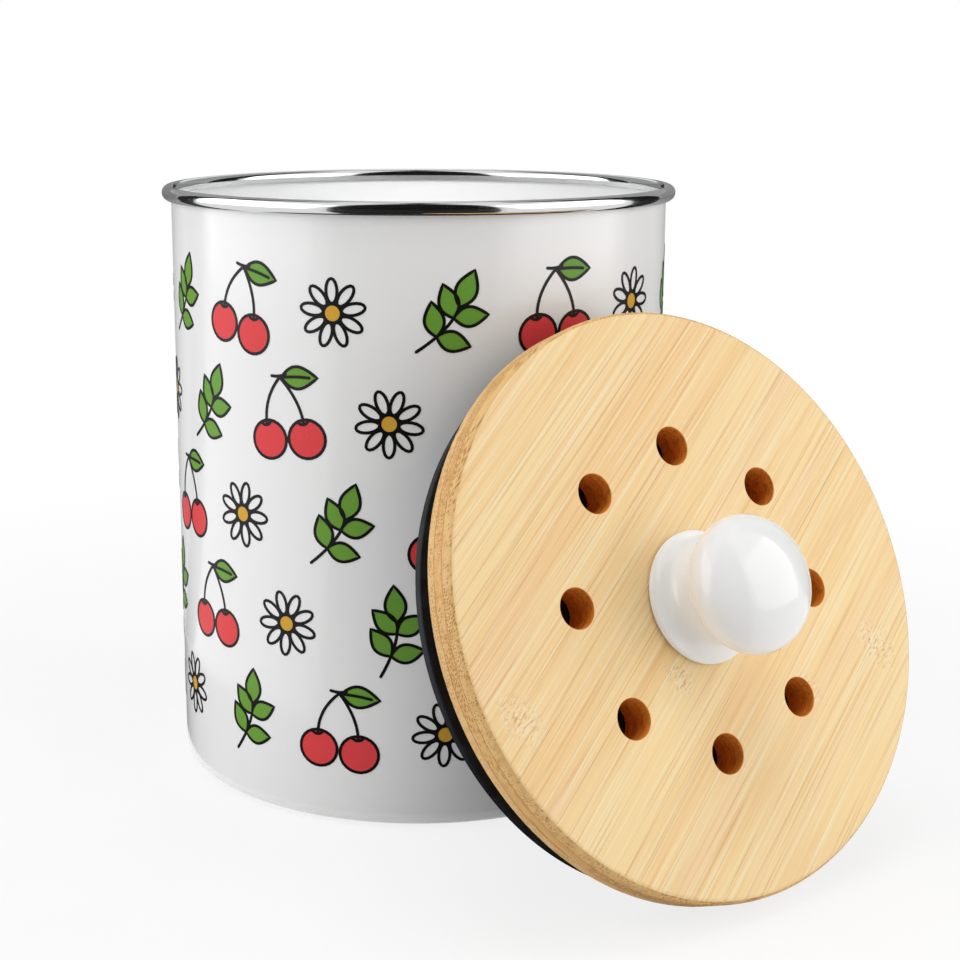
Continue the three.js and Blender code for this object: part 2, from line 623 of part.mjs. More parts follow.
// The bar that finger and thumb turn the cover by
function coverGrip() {
  const end = GRIP_THICKNESS / 2;
  const reach = GRIP_LENGTH / 2 - end;
  const outline = [
    ...arc(reach, 0, end, end, -Math.PI / 2, Math.PI / 2, CORNER_STEPS),
    ...arc(-reach, 0, end, end, Math.PI / 2, 1.5 * Math.PI, CORNER_STEPS),
  ];
  return raised(new THREE.Shape(outline), COVER_BOTTOM - GRIP_HEIGHT, COVER_TOP - COVER_THICKNESS / 2);
}

function lidAssembly() {
  const lid = new THREE.Group();
  lid.add(...boardPlies(), knob(), knobInsert(), knobWasher(), knobScrew());
  lid.add(filterHousing(), sealRing(), filterPad(), filterCover());
  for (let i = 0; i < SPOKE_COUNT; i += 1) lid.add(housingScrew(i));
  lid.rotation.z = LID_ROLL;
  return lid;
}

// The lid stands on its lowest edge, and the top of the seal's lip leans on the canister.
// Both the board's edge and the lip's edge may be the one that meets the ground.
function leaningLid() {
  const stand = new THREE.Group();
  const sine = Math.sin(LEAN_ANGLE);
  const cosine = Math.cos(LEAN_ANGLE);
  const lipDrop = SEAL_LIP_RADIUS * cosine - SEAL_BOTTOM * sine;
  const boardDrop = BOARD_RADIUS * cosine;
  const wallReach = SEAL_LIP_RADIUS * sine - SEAL_BOTTOM * cosine;
  stand.rotation.x = Math.PI / 2 - LEAN_ANGLE;
  stand.position.y = -(BODY_RADIUS + SEAT_GAP + wallReach);
  stand.position.z = Math.max(lipDrop, boardDrop) + SEAT_GAP;
  stand.add(lidAssembly());
  return stand;
}

const caddy = new THREE.Group();
caddy.add(canisterShell(), rimBand(), leaningLid());

export default caddy;
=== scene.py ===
"""Looks of a countertop compost caddy.

A printed enamel canister has a rolled steel rim. Its bamboo lid, with a porcelain knob, a
silicone seal and a charcoal filter, leans against it. All lengths are in metres.
"""

import functools
import json
import math
from collections import Counter, namedtuple

import bmesh
import bpy
from bpy.props import FloatProperty, FloatVectorProperty, IntProperty, PointerProperty
from mathutils import Euler, Matrix, Vector


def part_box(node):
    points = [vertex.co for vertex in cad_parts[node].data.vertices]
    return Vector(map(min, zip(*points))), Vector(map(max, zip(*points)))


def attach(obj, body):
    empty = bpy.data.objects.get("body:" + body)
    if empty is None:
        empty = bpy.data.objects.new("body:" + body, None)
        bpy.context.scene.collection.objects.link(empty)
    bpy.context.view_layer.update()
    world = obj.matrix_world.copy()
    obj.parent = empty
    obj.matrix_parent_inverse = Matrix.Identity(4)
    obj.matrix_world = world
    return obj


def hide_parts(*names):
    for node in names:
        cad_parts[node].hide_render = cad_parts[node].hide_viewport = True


bl_info = {
    "name": "Compost Caddy",
    "version": (1, 0, 0),
    "blender": (4, 5, 0),
    "location": "View3D > Sidebar > Caddy",
    "description": "Builds the visible surfaces of an enamelled compost caddy and its bamboo lid",
    "category": "Object",
}

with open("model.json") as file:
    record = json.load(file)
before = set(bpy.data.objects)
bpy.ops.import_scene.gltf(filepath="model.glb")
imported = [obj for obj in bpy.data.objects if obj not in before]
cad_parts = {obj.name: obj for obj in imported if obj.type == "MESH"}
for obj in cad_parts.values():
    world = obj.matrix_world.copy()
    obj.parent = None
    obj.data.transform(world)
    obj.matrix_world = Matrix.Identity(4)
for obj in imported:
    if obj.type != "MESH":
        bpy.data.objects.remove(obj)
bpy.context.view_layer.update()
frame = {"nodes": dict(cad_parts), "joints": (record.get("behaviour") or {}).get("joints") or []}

MM = 0.001
# What is left open between two seated pieces, and how far a cutter runs past what it cuts
SEAT_GAP = 0.3 * MM
OVERRUN = 1 * MM

# Facets on a circle, by the size of the piece, and on a quarter turn of a small round
LARGE = 192
MEDIUM = 96
SMALL = 40
ROUND_STEPS = 6

# Edges sharper than this stay sharp in the shading, and those flatter than this are dissolved
SHARP_EDGE = math.radians(38)
FLAT_EDGE = math.radians(0.5)

# The lid's own frame: zero is the middle of the board's underside, and +Z runs to the knob
LID_ROLL = math.radians(-6)
TWIST = next(joint for joint in frame["joints"] if joint["name"] == "filter_cover_twist")
LID_AXIS = -Vector(TWIST["axis"])
LID_PLACE = (
    Matrix.Translation(TWIST["pos_m"])
    @ Matrix.Rotation(LID_AXIS.angle(Vector((0, 0, 1))), 4, "X")
    @ Matrix.Rotation(LID_ROLL, 4, "Z")
)
CANISTER_PLACE = Matrix.Identity(4)

Span = namedtuple("Span", "bottom top inner outer")


def span(node, place=LID_PLACE):
    """Heights and radii of a CAD node about the Z axis of a place."""
    inverse = place.inverted()
    points = [inverse @ corner.co for corner in frame["nodes"][node].data.vertices]
    heights = [point.z for point in points]
    radii = [point.xy.length for point in points]
    return Span(min(heights), max(heights), min(radii), max(radii))


def middle(node):
    """The middle of a small CAD node, in the lid's frame."""
    low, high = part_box(node)
    return LID_PLACE.inverted() @ ((low + high) / 2)


BAND = span("rim_band", CANISTER_PLACE)
UPPER_PLY = span("lid_upper_ply")
CORE_PLY = span("lid_core_ply")
LOWER_PLY = span("lid_lower_ply")
KNOB = span("knob")
INSERT = span("knob_insert")
HOUSING = span("filter_housing")
SEAL = span("seal_ring")
PAD = span("filter_pad")
COVER = span("filter_cover")
SCREWS = [f"housing_screw_{number}" for number in range(1, 5)]
BOARD_TOP = UPPER_PLY.top


def linear(code):
    """An sRGB hex colour as linear red, green, blue and alpha."""
    channels = [int(code[start:start + 2], 16) / 255 for start in (0, 2, 4)]
    curve = [c / 12.92 if c <= 0.04045 else ((c + 0.055) / 1.055) ** 2.4 for c in channels]
    return (*curve, 1.0)


def size(name, description, millimetres):
    """A length that a user can change, given in millimetres and kept in metres."""
    return FloatProperty(
        name=name, description=description, default=millimetres * MM, unit="LENGTH", precision=5
    )


def turn(name, description, degrees):
    """An angle that a user can change, given in degrees and kept in radians."""
    return FloatProperty(
        name=name, description=description, default=math.radians(degrees), unit="ROTATION"
    )


def tint(name, description, code):
    """A colour that a user can change, given as sRGB hex and kept linear."""
    return FloatVectorProperty(
        name=name, description=description, default=linear(code), size=4, subtype="COLOR"
    )


def power(name, description, watts):
    """A lamp's power that a user can change."""
    return FloatProperty(name=name, description=description, default=watts, unit="POWER")


class CaddyCanisterSettings(bpy.types.PropertyGroup):
    body_radius: size("Body radius", "Outside radius of the can's wall", 89)
    wall: size("Wall", "Thickness of the enamelled sheet", 0.8)
    corner_radius: size("Corner radius", "Round between the wall and the base", 6)
    groove_radius: size("Groove radius", "Middle of the ring pressed in the base", 58)
    groove_width: size("Groove width", "Width of the ring pressed in the base", 12)
    groove_depth: size("Groove depth", "Depth of the ring pressed in the base", 1.5)
    groove_slope: size("Groove slope", "Run of each side of the pressed ring", 2)
    band_sheet: size("Band sheet", "Thickness of the rim band's steel", 0.5)
    band_skirt: size("Band skirt", "Depth of the band in the mouth below the bead's middle", 1.6)
    enamel: tint("Enamel", "Colour of the fired enamel", "F7F7F7")
    steel: tint("Rim steel", "Colour of the polished rim band", "DADBDC")


class CaddyPrintSettings(bpy.types.PropertyGroup):
    columns: IntProperty(name="Columns", description="Motifs in one row round the can", default=15)
    rows: IntProperty(name="Rows", description="Rows of motifs", default=5)
    lowest: size("Lowest row", "Height of the middle of the lowest row", 34)
    highest: size("Highest row", "Height of the middle of the highest row", 176)
    tilt: turn("Tilt", "Most that a motif leans to one side", 15)
    line_width: size("Line width", "Width of the drawn lines", 1.05)
    lift: size("Ink lift", "Height of the fired ink above the enamel", 0.06)
    red: tint("Red ink", "Colour of the fruit", "E8474B")
    green: tint("Green ink", "Colour of the leaves", "6FA33B")
    ochre: tint("Ochre ink", "Colour of the flower centres", "DFAA3A")
    line: tint("Line ink", "Colour of the drawn lines", "121212")


class CaddyLidSettings(bpy.types.PropertyGroup):
    vent_radius: size("Vent radius", "Radius of the eight vent holes", 6.25)
    vent_circle: size("Vent circle", "Radius of the circle that the vents lie on", 48.75)
    vent_round: size("Vent round", "Softened edge of each vent in the board's face", 0.35)
    pilot_radius: size("Pilot radius", "Radius of the holes for the housing's screws", 1.8)
    top_round: size("Top round", "Round of the board's top edge", 2.2)
    bottom_round: size("Bottom round", "Round of the board's bottom edge", 1)
    grain: turn("Grain", "Turn from the board's own X axis to the grain", 43.5)
    foot_radius: size("Foot radius", "Radius of the knob's foot", 21.2)
    foot_edge: size("Foot edge", "Thickness of the rounded edge of the foot", 2.4)
    waist_radius: size("Waist radius", "Narrowest radius of the knob", 14.6)
    waist_height: size("Waist height", "Height of the waist above the board", 9.5)
    head_half_height: size("Head half height", "Half height of the flattened ball", 13.4)
    bamboo: tint("Bamboo", "Ground colour of the sanded face", "F7D89D")
    glaze: tint("Glaze", "Colour of the porcelain", "F6F6F5")


class CaddyFilterSettings(bpy.types.PropertyGroup):
    wall: size("Housing wall", "Thickness of the housing's ring wall", 2.4)
    plate: size("Housing plate", "Thickness of the plate under the board", 2.4)
    lower_flange: size("Lower flange", "Reach of the flange that holds the seal", 2.4)
    flange_thickness: size("Flange thickness", "Thickness of that flange", 2.1)
    upper_flange: size("Upper flange", "Reach of the flange under the board", 3.6)
    window_radius: size("Window radius", "Open middle of the housing's plate", 60)
    hub_radius: size("Hub radius", "Outside of the hub under the knob's screw", 14)
    hub_wall: size("Hub wall", "Width of the hub's ring", 4)
    spoke_width: size("Spoke width", "Width of the four spokes", 4)
    sink_radius: size("Sink radius", "Mouth of the cone that a screw's head sits in", 3.7)
    sink_depth: size("Sink depth", "Depth of that cone", 1.9)
    lip_thickness: size("Lip thickness", "Thickness of the seal's lip", 3.2)
    lip_round: size("Lip round", "Round of the lip's edge", 0.8)
    seal_wall: size("Seal wall", "Thickness of the seal's body in its groove", 3.3)
    undercut: size("Undercut", "Slope of the lip's upper side", 0.8)
    pad_round: size("Pad round", "Soft edge of the charcoal pad", 1.2)
    cover_thickness: size("Cover thickness", "Thickness of the slotted cover", 2.4)
    running_gap: size("Running gap", "Clearance round the turning cover", 0.4)
    lug_reach: size("Lug reach", "Reach of the bayonet lugs", 2.4)
    lug_thickness: size("Lug thickness", "Thickness of the bayonet lugs", 1.5)
    slot_width: size("Slot width", "Width of the curved slots", 4)
    slot_first: size("First slots", "Radius of the innermost ring of slots", 20)
    slot_step: size("Slot step", "Distance between two rings of slots", 12.5)
    slot_bridge: size("Slot bridge", "Web between two slots of a ring", 6)
    slot_border: size("Slot border", "Solid border outside the slots", 14)
    grip_length: size("Grip length", "Length of the bar that turns the cover", 26)
    grip_thickness: size("Grip thickness", "Thickness of that bar", 4)
    moulded_edge: size("Moulded edge", "Round that the mould leaves on every edge", 0.25)


class CaddyStageSettings(bpy.types.PropertyGroup):
    floor_size: size("Floor size", "Side of the square floor", 8000)
    lens: size("Lens", "Focal length on a sensor 36 mm wide", 67.62)
    sensor: size("Sensor", "Width of the sensor", 36)
    camera_turn: turn("Camera turn", "Camera's turn from +Y towards +X", 35.89)
    camera_pitch: turn("Camera pitch", "Camera's tilt below the horizon", 13.01)
    shift: FloatProperty(name="Shift", description="Sideways shift of the picture", default=0.0641)
    sky: FloatProperty(name="Sky", description="Strength of the even surroundings", default=0.25)
    left: power("Left", "Power of the left softbox", 12.2)
    right: power("Right", "Power of the right softbox", 10.6)
    top: power("Top", "Power of the top softbox", 8.0)
    inside: power("Inside", "Power of the gridded softbox", 0.03)


# Profiles and meshes

def arc(centre, halves, start, end, steps):
    """Points on an elliptic arc. Angles are in degrees: zero points outward, a quarter turn up."""
    angles = [math.radians(start + (end - start) * step / steps) for step in range(steps + 1)]
    return [
        (centre[0] + halves[0] * math.cos(angle), centre[1] + halves[1] * math.sin(angle))
        for angle in angles
    ]


def rounded_edge(radius, bottom, top, low_round, high_round):
    """The outer edge of a turned piece, with a round at its bottom and its top where it has one."""
    low = [(radius, bottom)]
    if low_round:
        centre = (radius - low_round, bottom + low_round)
        low = arc(centre, (low_round, low_round), -90, 0, ROUND_STEPS)
    high = [(radius, top)]
    if high_round:
        centre = (radius - high_round, top - high_round)
        high = arc(centre, (high_round, high_round), 0, 90, ROUND_STEPS)
    return low + high


def along(base, length, angle):
    """A point at a distance from a base, along an angle in degrees."""
    heading = math.radians(angle)
    return Vector(base) + length * Vector((math.cos(heading), math.sin(heading)))


def evenly(count):
    """Angles in degrees that share out a full turn."""
    return [360 * index / count for index in range(count)]


def turned(profile, segments, closed=False):
    """A mesh turned about Z from points of radius and height; a closed one makes a ring."""
    mesh = bmesh.new()
    rings = []
    for radius, height in profile:
        count = segments if radius > 0 else 1
        angles = [2 * math.pi * index / segments for index in range(count)]
        points = [(radius * math.cos(angle), radius * math.sin(angle), height) for angle in angles]
        rings.append([mesh.verts.new(point) for point in points])
    upper_rings = rings[1:] + (rings[:1] if closed else [])
    for lower, upper in zip(rings, upper_rings):
        for index in range(segments):
            near = [lower[step % len(lower)] for step in (index, index + 1)]
            far = [upper[step % len(upper)] for step in (index + 1, index)]
            corners = list(dict.fromkeys(near + far))
            if len(corners) > 2:
                mesh.faces.new(corners)
    bmesh.ops.recalc_face_normals(mesh, faces=mesh.faces)
    return mesh


def tube(inner, outer, bottom, top, segments):
    """A ring with a rectangular section."""
    section = [(inner, bottom), (outer, bottom), (outer, top), (inner, top)]
    return turned(section, segments, closed=True)


def slab(outline, bottom, top):
    """A flat outline raised between two heights."""
    mesh = bmesh.new()
    low = [mesh.verts.new((x, y, bottom)) for x, y in outline]
    high = [mesh.verts.new((x, y, top)) for x, y in outline]
    mesh.faces.new(low)
    mesh.faces.new(high)
    for index in range(len(outline)):
        after = (index + 1) % len(outline)
        mesh.faces.new((low[index], low[after], high[after], high[index]))
    bmesh.ops.recalc_face_normals(mesh, faces=mesh.faces)
    return mesh


def sector(inner, outer, start, end, bottom, top):
    """Part of a flat ring between two angles in degrees."""
    steps = max(2, math.ceil((end - start) * LARGE / 360))
    outside = arc((0, 0), (outer, outer), start, end, steps)
    inside = arc((0, 0), (inner, inner), end, start, steps)
    return slab(outside + inside, bottom, top)


def moved(mesh, matrix):
    """The same mesh in another place."""
    bmesh.ops.transform(mesh, matrix=matrix, verts=mesh.verts)
    return mesh


def set_at(mesh, spot):
    """The same mesh with its axis at a spot in plan."""
    return moved(mesh, Matrix.Translation((spot.x, spot.y, 0)))


def post(radius, bottom, top, spot=Vector((0, 0)), segments=SMALL):
    """A round post between two heights."""
    profile = [(0, bottom), (radius, bottom), (radius, top), (0, top)]
    return set_at(turned(profile, segments), spot)


def gathered(meshes):
    """Separate closed meshes as one."""
    whole = bmesh.new()
    for mesh in meshes:
        data = bpy.data.meshes.new("gathered")
        mesh.to_mesh(data)
        mesh.free()
        whole.from_mesh(data)
        bpy.data.meshes.remove(data)
    return whole


def shown(name, mesh, materials=()):
    """A mesh as an object in the scene."""
    data = bpy.data.meshes.new(name)
    mesh.to_mesh(data)
    mesh.free()
    for material in materials:
        data.materials.append(material)
    made = bpy.data.objects.new(name, data)
    bpy.context.scene.collection.objects.link(made)
    return made


def with_modifier(made, kind, **settings):
    """What an object's mesh becomes under a modifier."""
    modifier = made.modifiers.new("change", kind)
    for name, value in settings.items():
        setattr(modifier, name, value)
    bpy.context.view_layer.update()
    changed = made.evaluated_get(bpy.context.evaluated_depsgraph_get())
    data = bpy.data.meshes.new_from_object(changed)
    made.modifiers.clear()
    return data


def discarded(made):
    """Deletes an object that was only a tool."""
    data = made.data
    bpy.data.objects.remove(made)
    bpy.data.meshes.remove(data)


def combined(mesh, tools, operation):
    """A mesh joined with, or cut by, separate closed tools."""
    target, other = shown("target", mesh), shown("tools", gathered(tools))
    data = with_modifier(target, "BOOLEAN", object=other, operation=operation, solver="EXACT")
    result = bmesh.new()
    result.from_mesh(data)
    bpy.data.meshes.remove(data)
    discarded(target)
    discarded(other)
    return result


def softened(mesh, width):
    """A mesh whose sharp edges are rounded by a small width, as a mould leaves them."""
    bmesh.ops.dissolve_limit(mesh, angle_limit=FLAT_EDGE, verts=mesh.verts, edges=mesh.edges)
    edges = [
        edge for edge in mesh.edges if edge.is_manifold and edge.calc_face_angle(0) > SHARP_EDGE
    ]
    bmesh.ops.bevel(
        mesh, geom=edges, offset=width, segments=2, profile=0.5, affect="EDGES", clamp_overlap=True
    )
    return mesh


def piece(name, mesh, place, body, materials, nodes=(), region=None):
    """A shown piece, smooth shaded, on its body and in place of its CAD nodes."""
    made = shown(name, mesh, materials)
    if region:
        for polygon in made.data.polygons:
            polygon.material_index = region(polygon)
    made.data.transform(place)
    made.data.shade_smooth()
    made.data.set_sharp_from_angle(angle=SHARP_EDGE)
    # The large faces lead the normals, so flats stay flat beside their rounded edges
    rough = made.data
    made.data = with_modifier(made, "WEIGHTED_NORMAL", keep_sharp=True)
    bpy.data.meshes.remove(rough)
    made.data.name = name
    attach(made, body)
    if nodes:
        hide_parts(*nodes)
    return made


# Materials

# A colour laid over a base in blotches of a real width, and a length along the grain, in
# millimetres. It starts to show at the low level of the noise and has its whole share at the high
Mark = namedtuple("Mark", "colour width length low high share")
# The least and most roughness of a surface, and the width of its duller patches in millimetres
Gloss = namedtuple("Gloss", "least most width")
# The height, width and length of the bumps of a surface, in millimetres
Relief = namedtuple("Relief", "height width length")

# The levels that most of a noise lies between
NOISE_LOW, NOISE_HIGH = 0.3, 0.7

BAMBOO_IOR = 1.45


def result(node):
    """The output that a node has in use."""
    return next(output for output in node.outputs if output.enabled)


def add(tree, kind, inputs=None, **settings):
    """Adds a shader node with its settings, and the values or links of its sockets."""
    made = tree.nodes.new("ShaderNode" + kind)
    for name, value in settings.items():
        setattr(made, name, value)
    for identifier, value in (inputs or {}).items():
        socket = next(entry for entry in made.inputs if entry.identifier == identifier)
        if isinstance(value, bpy.types.Node):
            value = result(value)
        if isinstance(value, bpy.types.NodeSocket):
            tree.links.new(value, socket)
        else:
            socket.default_value = value
    return made


def cells(tree, width, length, grain):
    """Places counted in cells of a width, and a length along the grain's X axis, in millimetres."""
    placing = {
        "Vector": add(tree, "TexCoord").outputs["Object"],
        "Location": grain.translation,
        "Rotation": grain.to_euler(),
        "Scale": Vector((length, width, width)) * MM,
    }
    return add(tree, "Mapping", placing, vector_type="TEXTURE")


def blotches(tree, width, length, grain):
    """Noise in blotches of a width and a length along the grain, in millimetres."""
    # The fourth dimension keeps noises of different widths apart
    noise = {"Vector": cells(tree, width, length, grain), "W": 3 * width + length, "Scale": 1.0}
    return add(tree, "TexNoise", noise, noise_dimensions="4D")


def laid_over(tree, base, marks, grain, mask=None):
    """A base colour with marks laid over it one after another, inside a mask where there is one."""
    colour = base
    for mark in marks:
        levels = {
            "Value": blotches(tree, mark.width, mark.length, grain),
            "From Min": mark.low,
            "From Max": mark.high,
            "To Max": mark.share,
        }
        share = add(tree, "MapRange", levels, interpolation_type="SMOOTHSTEP")
        if mask:
            share = add(tree, "Math", {"Value": share, "Value_001": mask}, operation="MULTIPLY")
        mixed = {"Factor_Float": share, "A_Color": colour, "B_Color": linear(mark.colour)}
        colour = add(tree, "Mix", mixed, data_type="RGBA")
    return colour


def surfaced(name, base, gloss, marks=(), relief=None, grain=CANISTER_PLACE, **sockets):
    """A material: a base colour under its marks, a patchy gloss and, where it has one, a relief."""
    made = bpy.data.materials.new(name)
    made.use_nodes = True
    tree = made.node_tree
    tree.nodes.clear()
    values = {socket.replace("_", " "): value for socket, value in sockets.items()}
    values["Base Color"] = laid_over(tree, base, marks, grain)
    levels = {
        "Value": blotches(tree, gloss.width, gloss.width, grain),
        "From Min": NOISE_LOW,
        "From Max": NOISE_HIGH,
        "To Min": gloss.least,
        "To Max": gloss.most,
    }
    values["Roughness"] = add(tree, "MapRange", levels)
    if relief:
        height = blotches(tree, relief.width, relief.length, grain)
        values["Normal"] = add(tree, "Bump", {"Height": height, "Distance": relief.height * MM})
    add(tree, "OutputMaterial", {"Surface": add(tree, "BsdfPrincipled", values)})
    return made


def input_of(tree, kind, name):
    """A named input of the one node of a kind."""
    return next(node for node in tree.nodes if node.type == kind).inputs[name]


def recoloured(made, change):
    """The same material, its colour passed through a change that takes and returns a colour."""
    tree = made.node_tree
    socket = input_of(tree, "BSDF_PRINCIPLED", "Base Color")
    tree.links.new(result(change(tree, socket.links[0].from_socket)), socket)
    return made


def enamel_material():
    # Vitreous enamel on steel, dipped and fired: a hard white glass, with a faint orange peel
    # that breaks up its reflections a little
    colour = bpy.context.scene.caddy_canister.enamel
    gloss = Gloss(0.12, 0.17, 18)
    peel = Relief(0.012, 3.5, 3.5)
    return surfaced("Vitreous enamel, dipped and fired", colour, gloss, relief=peel, IOR=1.5)


def ink_material(ink, colour, mottle):
    # Ceramic ink, screen printed and fired onto the enamel: flatter than the glass round it,
    # with a mottle of printed dots, drawn half a millimetre wide so that it shows
    name = f"Ceramic ink, fired, {ink}"
    marks = [Mark(mottle, 0.5, 0.5, 0.45, 0.8, 0.5)]
    gloss = Gloss(0.3, 0.36, 2)
    return surfaced(name, colour, gloss, marks, IOR=1.5, Specular_IOR_Level=0.2)


def rim_material():
    # Stainless steel strip, rolled and buffed: a slightly soft mirror with faint hazy patches
    colour = bpy.context.scene.caddy_canister.steel
    gloss = Gloss(0.08, 0.13, 2)
    return surfaced("Stainless steel, rolled and buffed", colour, gloss, Metallic=1.0)


def grain_place(angle):
    """The board's frame turned so that its X axis runs along the fibres."""
    return LID_PLACE @ Matrix.Rotation(angle, 4, "Z")


# The bamboo's face, from the broad bands of its strips to single threads of fibre
FACE_MARKS = (
    Mark("F0BE7C", 15, 240, 0.42, 0.66, 0.5),
    Mark("F3C79C", 10, 110, 0.5, 0.74, 0.4),
    Mark("E6B670", 2.2, 150, 0.5, 0.76, 0.45),
    Mark("FBEBC2", 1.3, 110, 0.5, 0.74, 0.5),
    Mark("D79C60", 0.8, 70, 0.52, 0.76, 0.6),
    Mark("FFF3D2", 0.6, 50, 0.52, 0.76, 0.6),
    Mark("B07A42", 0.5, 100, 0.64, 0.74, 0.5),
)

# Flecks of torn fibre at a knuckle of the cane
KNUCKLE_MARKS = (
    Mark("FBE8C6", 0.9, 3.5, 0.46, 0.6, 0.6),
    Mark("D19A68", 0.8, 2.6, 0.52, 0.66, 0.7),
    Mark("A87045", 0.5, 1.6, 0.58, 0.7, 0.5),
)

# Knuckles in the board's face: their middles, and half their length and width along the grain,
# in millimetres. Inside the core, a share of that size, the flecks are whole
KNUCKLE_CORE = 0.3
Knuckle = namedtuple("Knuckle", "x y length width")
KNUCKLES = (
    Knuckle(-76, -30, 8, 12),
    Knuckle(74, -21, 9, 13),
    Knuckle(38, -33, 7, 9),
    Knuckle(-14, -24, 6, 8),
)


def in_knuckles(tree, grain):
    """A mask that is one at the knuckles and fades to zero round them."""
    mask = None
    for knuckle in KNUCKLES:
        spot = LID_PLACE @ Vector((knuckle.x * MM, knuckle.y * MM, BOARD_TOP))
        place = Matrix.Translation(spot) @ grain.to_3x3().to_4x4()
        counted = {"Vector": cells(tree, knuckle.width, knuckle.length, place)}
        reach = add(tree, "VectorMath", counted, operation="LENGTH")
        fade = {"Value": reach, "From Min": KNUCKLE_CORE, "To Min": 1.0, "To Max": 0.0}
        here = add(tree, "MapRange", fade, interpolation_type="SMOOTHSTEP")
        if mask:
            here = add(tree, "Math", {"Value": mask, "Value_001": here}, operation="MAXIMUM")
        mask = here
    return mask


@functools.cache
def face_material():
    # Laminated bamboo, sanded and oiled: pale straw with fine lighter and darker fibres all
    # one way, faint pink bands, and flecked knuckles
    lid = bpy.context.scene.caddy_lid
    name = "Bamboo, sanded and oiled"
    grain = grain_place(lid.grain)
    gloss = Gloss(0.42, 0.54, 3)
    fibre = Relief(0.03, 0.6, 40)
    made = surfaced(name, lid.bamboo, gloss, FACE_MARKS, fibre, grain, IOR=BAMBOO_IOR)

    def flecked(tree, colour):
        return laid_over(tree, colour, KNUCKLE_MARKS, grain, in_knuckles(tree, grain))

    return recoloured(made, flecked)


# The edge of each ply: its two tones, how dark its pores are, and how its fibres turn
Edge = namedtuple("Edge", "name base warm pores turn")
EDGES = (
    Edge("upper", "E7BD7E", "D4A05A", 0.9, 0),
    Edge("core", "E3B675", "CF9A54", 0.9, math.radians(90)),
    Edge("lower", "E8BF82", "D6A45E", 0.7, 0),
)


def edge_material(edge):
    # The turned and sanded edge of a ply: streaks where the cut runs with the fibres, and brown
    # pores, a third of a millimetre wide and drawn half as wide again, where it crosses them
    name = f"Bamboo, sanded edge, {edge.name}"
    grain = grain_place(bpy.context.scene.caddy_lid.grain + edge.turn)
    gloss = Gloss(0.5, 0.62, 2)
    marks = (
        Mark(edge.warm, 3, 60, 0.4, 0.7, 0.55),
        Mark("EDCB93", 0.8, 26, 0.5, 0.75, 0.45),
        Mark("B07E42", 0.5, 30, 0.56, 0.78, 0.4),
    )
    made = surfaced(name, linear(edge.base), gloss, marks, grain=grain, IOR=BAMBOO_IOR)

    def pored(tree, colour):
        spread = {"Vector": cells(tree, 0.7, 40, grain), "Scale": 1.0, "Randomness": 0.6}
        dots = {
            "Value": add(tree, "TexVoronoi", spread),
            "From Min": 0.22,
            "From Max": 0.52,
            "To Min": edge.pores,
            "To Max": 0.0,
        }
        patches = {"Value": blotches(tree, 5, 30, grain), "From Min": 0.32, "From Max": 0.5}
        share = {"Value": add(tree, "MapRange", dots), "Value_001": add(tree, "MapRange", patches)}
        dotted = add(tree, "Math", share, operation="MULTIPLY")
        mixed = {"Factor_Float": dotted, "A_Color": colour, "B_Color": linear("A87238")}
        return add(tree, "Mix", mixed, data_type="RGBA")

    return recoloured(made, pored)


@functools.cache
def bored_material():
    # Walls of the drilled vents: torn fibre, browned by the drill's heat
    brown = linear("E8902F")
    grain = grain_place(bpy.context.scene.caddy_lid.grain)
    gloss = Gloss(0.6, 0.75, 1)
    marks = (Mark("A5561A", 1.2, 8, 0.4, 0.7, 0.6), Mark("F2A850", 0.6, 4, 0.55, 0.75, 0.4))
    torn = Relief(0.1, 0.5, 3)
    return surfaced("Bamboo, drilled", brown, gloss, marks, torn, grain, IOR=BAMBOO_IOR)


@functools.cache
def glue_material():
    # Wood glue between two plies: a thin, dark amber line
    amber = linear("C27C22")
    marks = [Mark("A4661C", 3, 3, 0.4, 0.6, 0.7)]
    return surfaced("Wood glue, pressed", amber, Gloss(0.5, 0.6, 2), marks, IOR=1.48)


def porcelain_material():
    # Porcelain, cast and glazed: a clear glaze over white clay, pooled very slightly
    colour = bpy.context.scene.caddy_lid.glaze
    gloss = Gloss(0.08, 0.13, 6)
    pooled = Relief(0.02, 9, 9)
    return surfaced("Porcelain, cast and glazed", colour, gloss, relief=pooled, IOR=1.5)


def silicone_material():
    # Silicone rubber, moulded: a dull black skin that takes a soft grey sheen at its edges
    black = linear("080A10")
    gloss = Gloss(0.55, 0.65, 5)
    # The bluish grey blotches are partly a painted sheen, standing for the bluish light on the lip,
    # and partly a tone that varies at random over the whole seal
    marks = [Mark("141822", 6, 6, 0.4, 0.6, 1.0)]
    skin = Relief(0.02, 0.5, 0.5)
    return surfaced("Silicone rubber, moulded", black, gloss, marks, skin, IOR=1.41)


@functools.cache
def plastic_material():
    # Polypropylene, injection moulded in a spark eroded tool: black with a fine pebbled grain,
    # drawn a third of a millimetre wide so that it shows
    black = linear("0F0F10")
    gloss = Gloss(0.38, 0.5, 0.4)
    marks = [Mark("161617", 12, 12, 0.4, 0.6, 1.0)]
    pebbles = Relief(0.03, 0.35, 0.35)
    return surfaced("Polypropylene, moulded", black, gloss, marks, pebbles, IOR=1.49)


def felt_material():
    # Charcoal felt, needled: a matt mat of dark fibres a few millimetres long, with paler ends
    charcoal = linear("383430")
    gloss = Gloss(0.9, 1.0, 2)
    marks = (Mark("1C1A18", 1, 1, 0.4, 0.7, 1.0), Mark("5A544E", 0.35, 3.5, 0.56, 0.72, 0.6))
    mat = Relief(0.3, 0.8, 1.2)
    return surfaced("Charcoal felt, needled", charcoal, gloss, marks, mat, Sheen_Weight=0.3)


def brass_material():
    # Brass, turned and tapped: yellow metal with fine lathe rings
    gloss = Gloss(0.25, 0.4, 0.5)
    rings = Relief(0.01, 0.3, 6)
    return surfaced("Brass, turned", linear("C09A52"), gloss, relief=rings, Metallic=1.0)


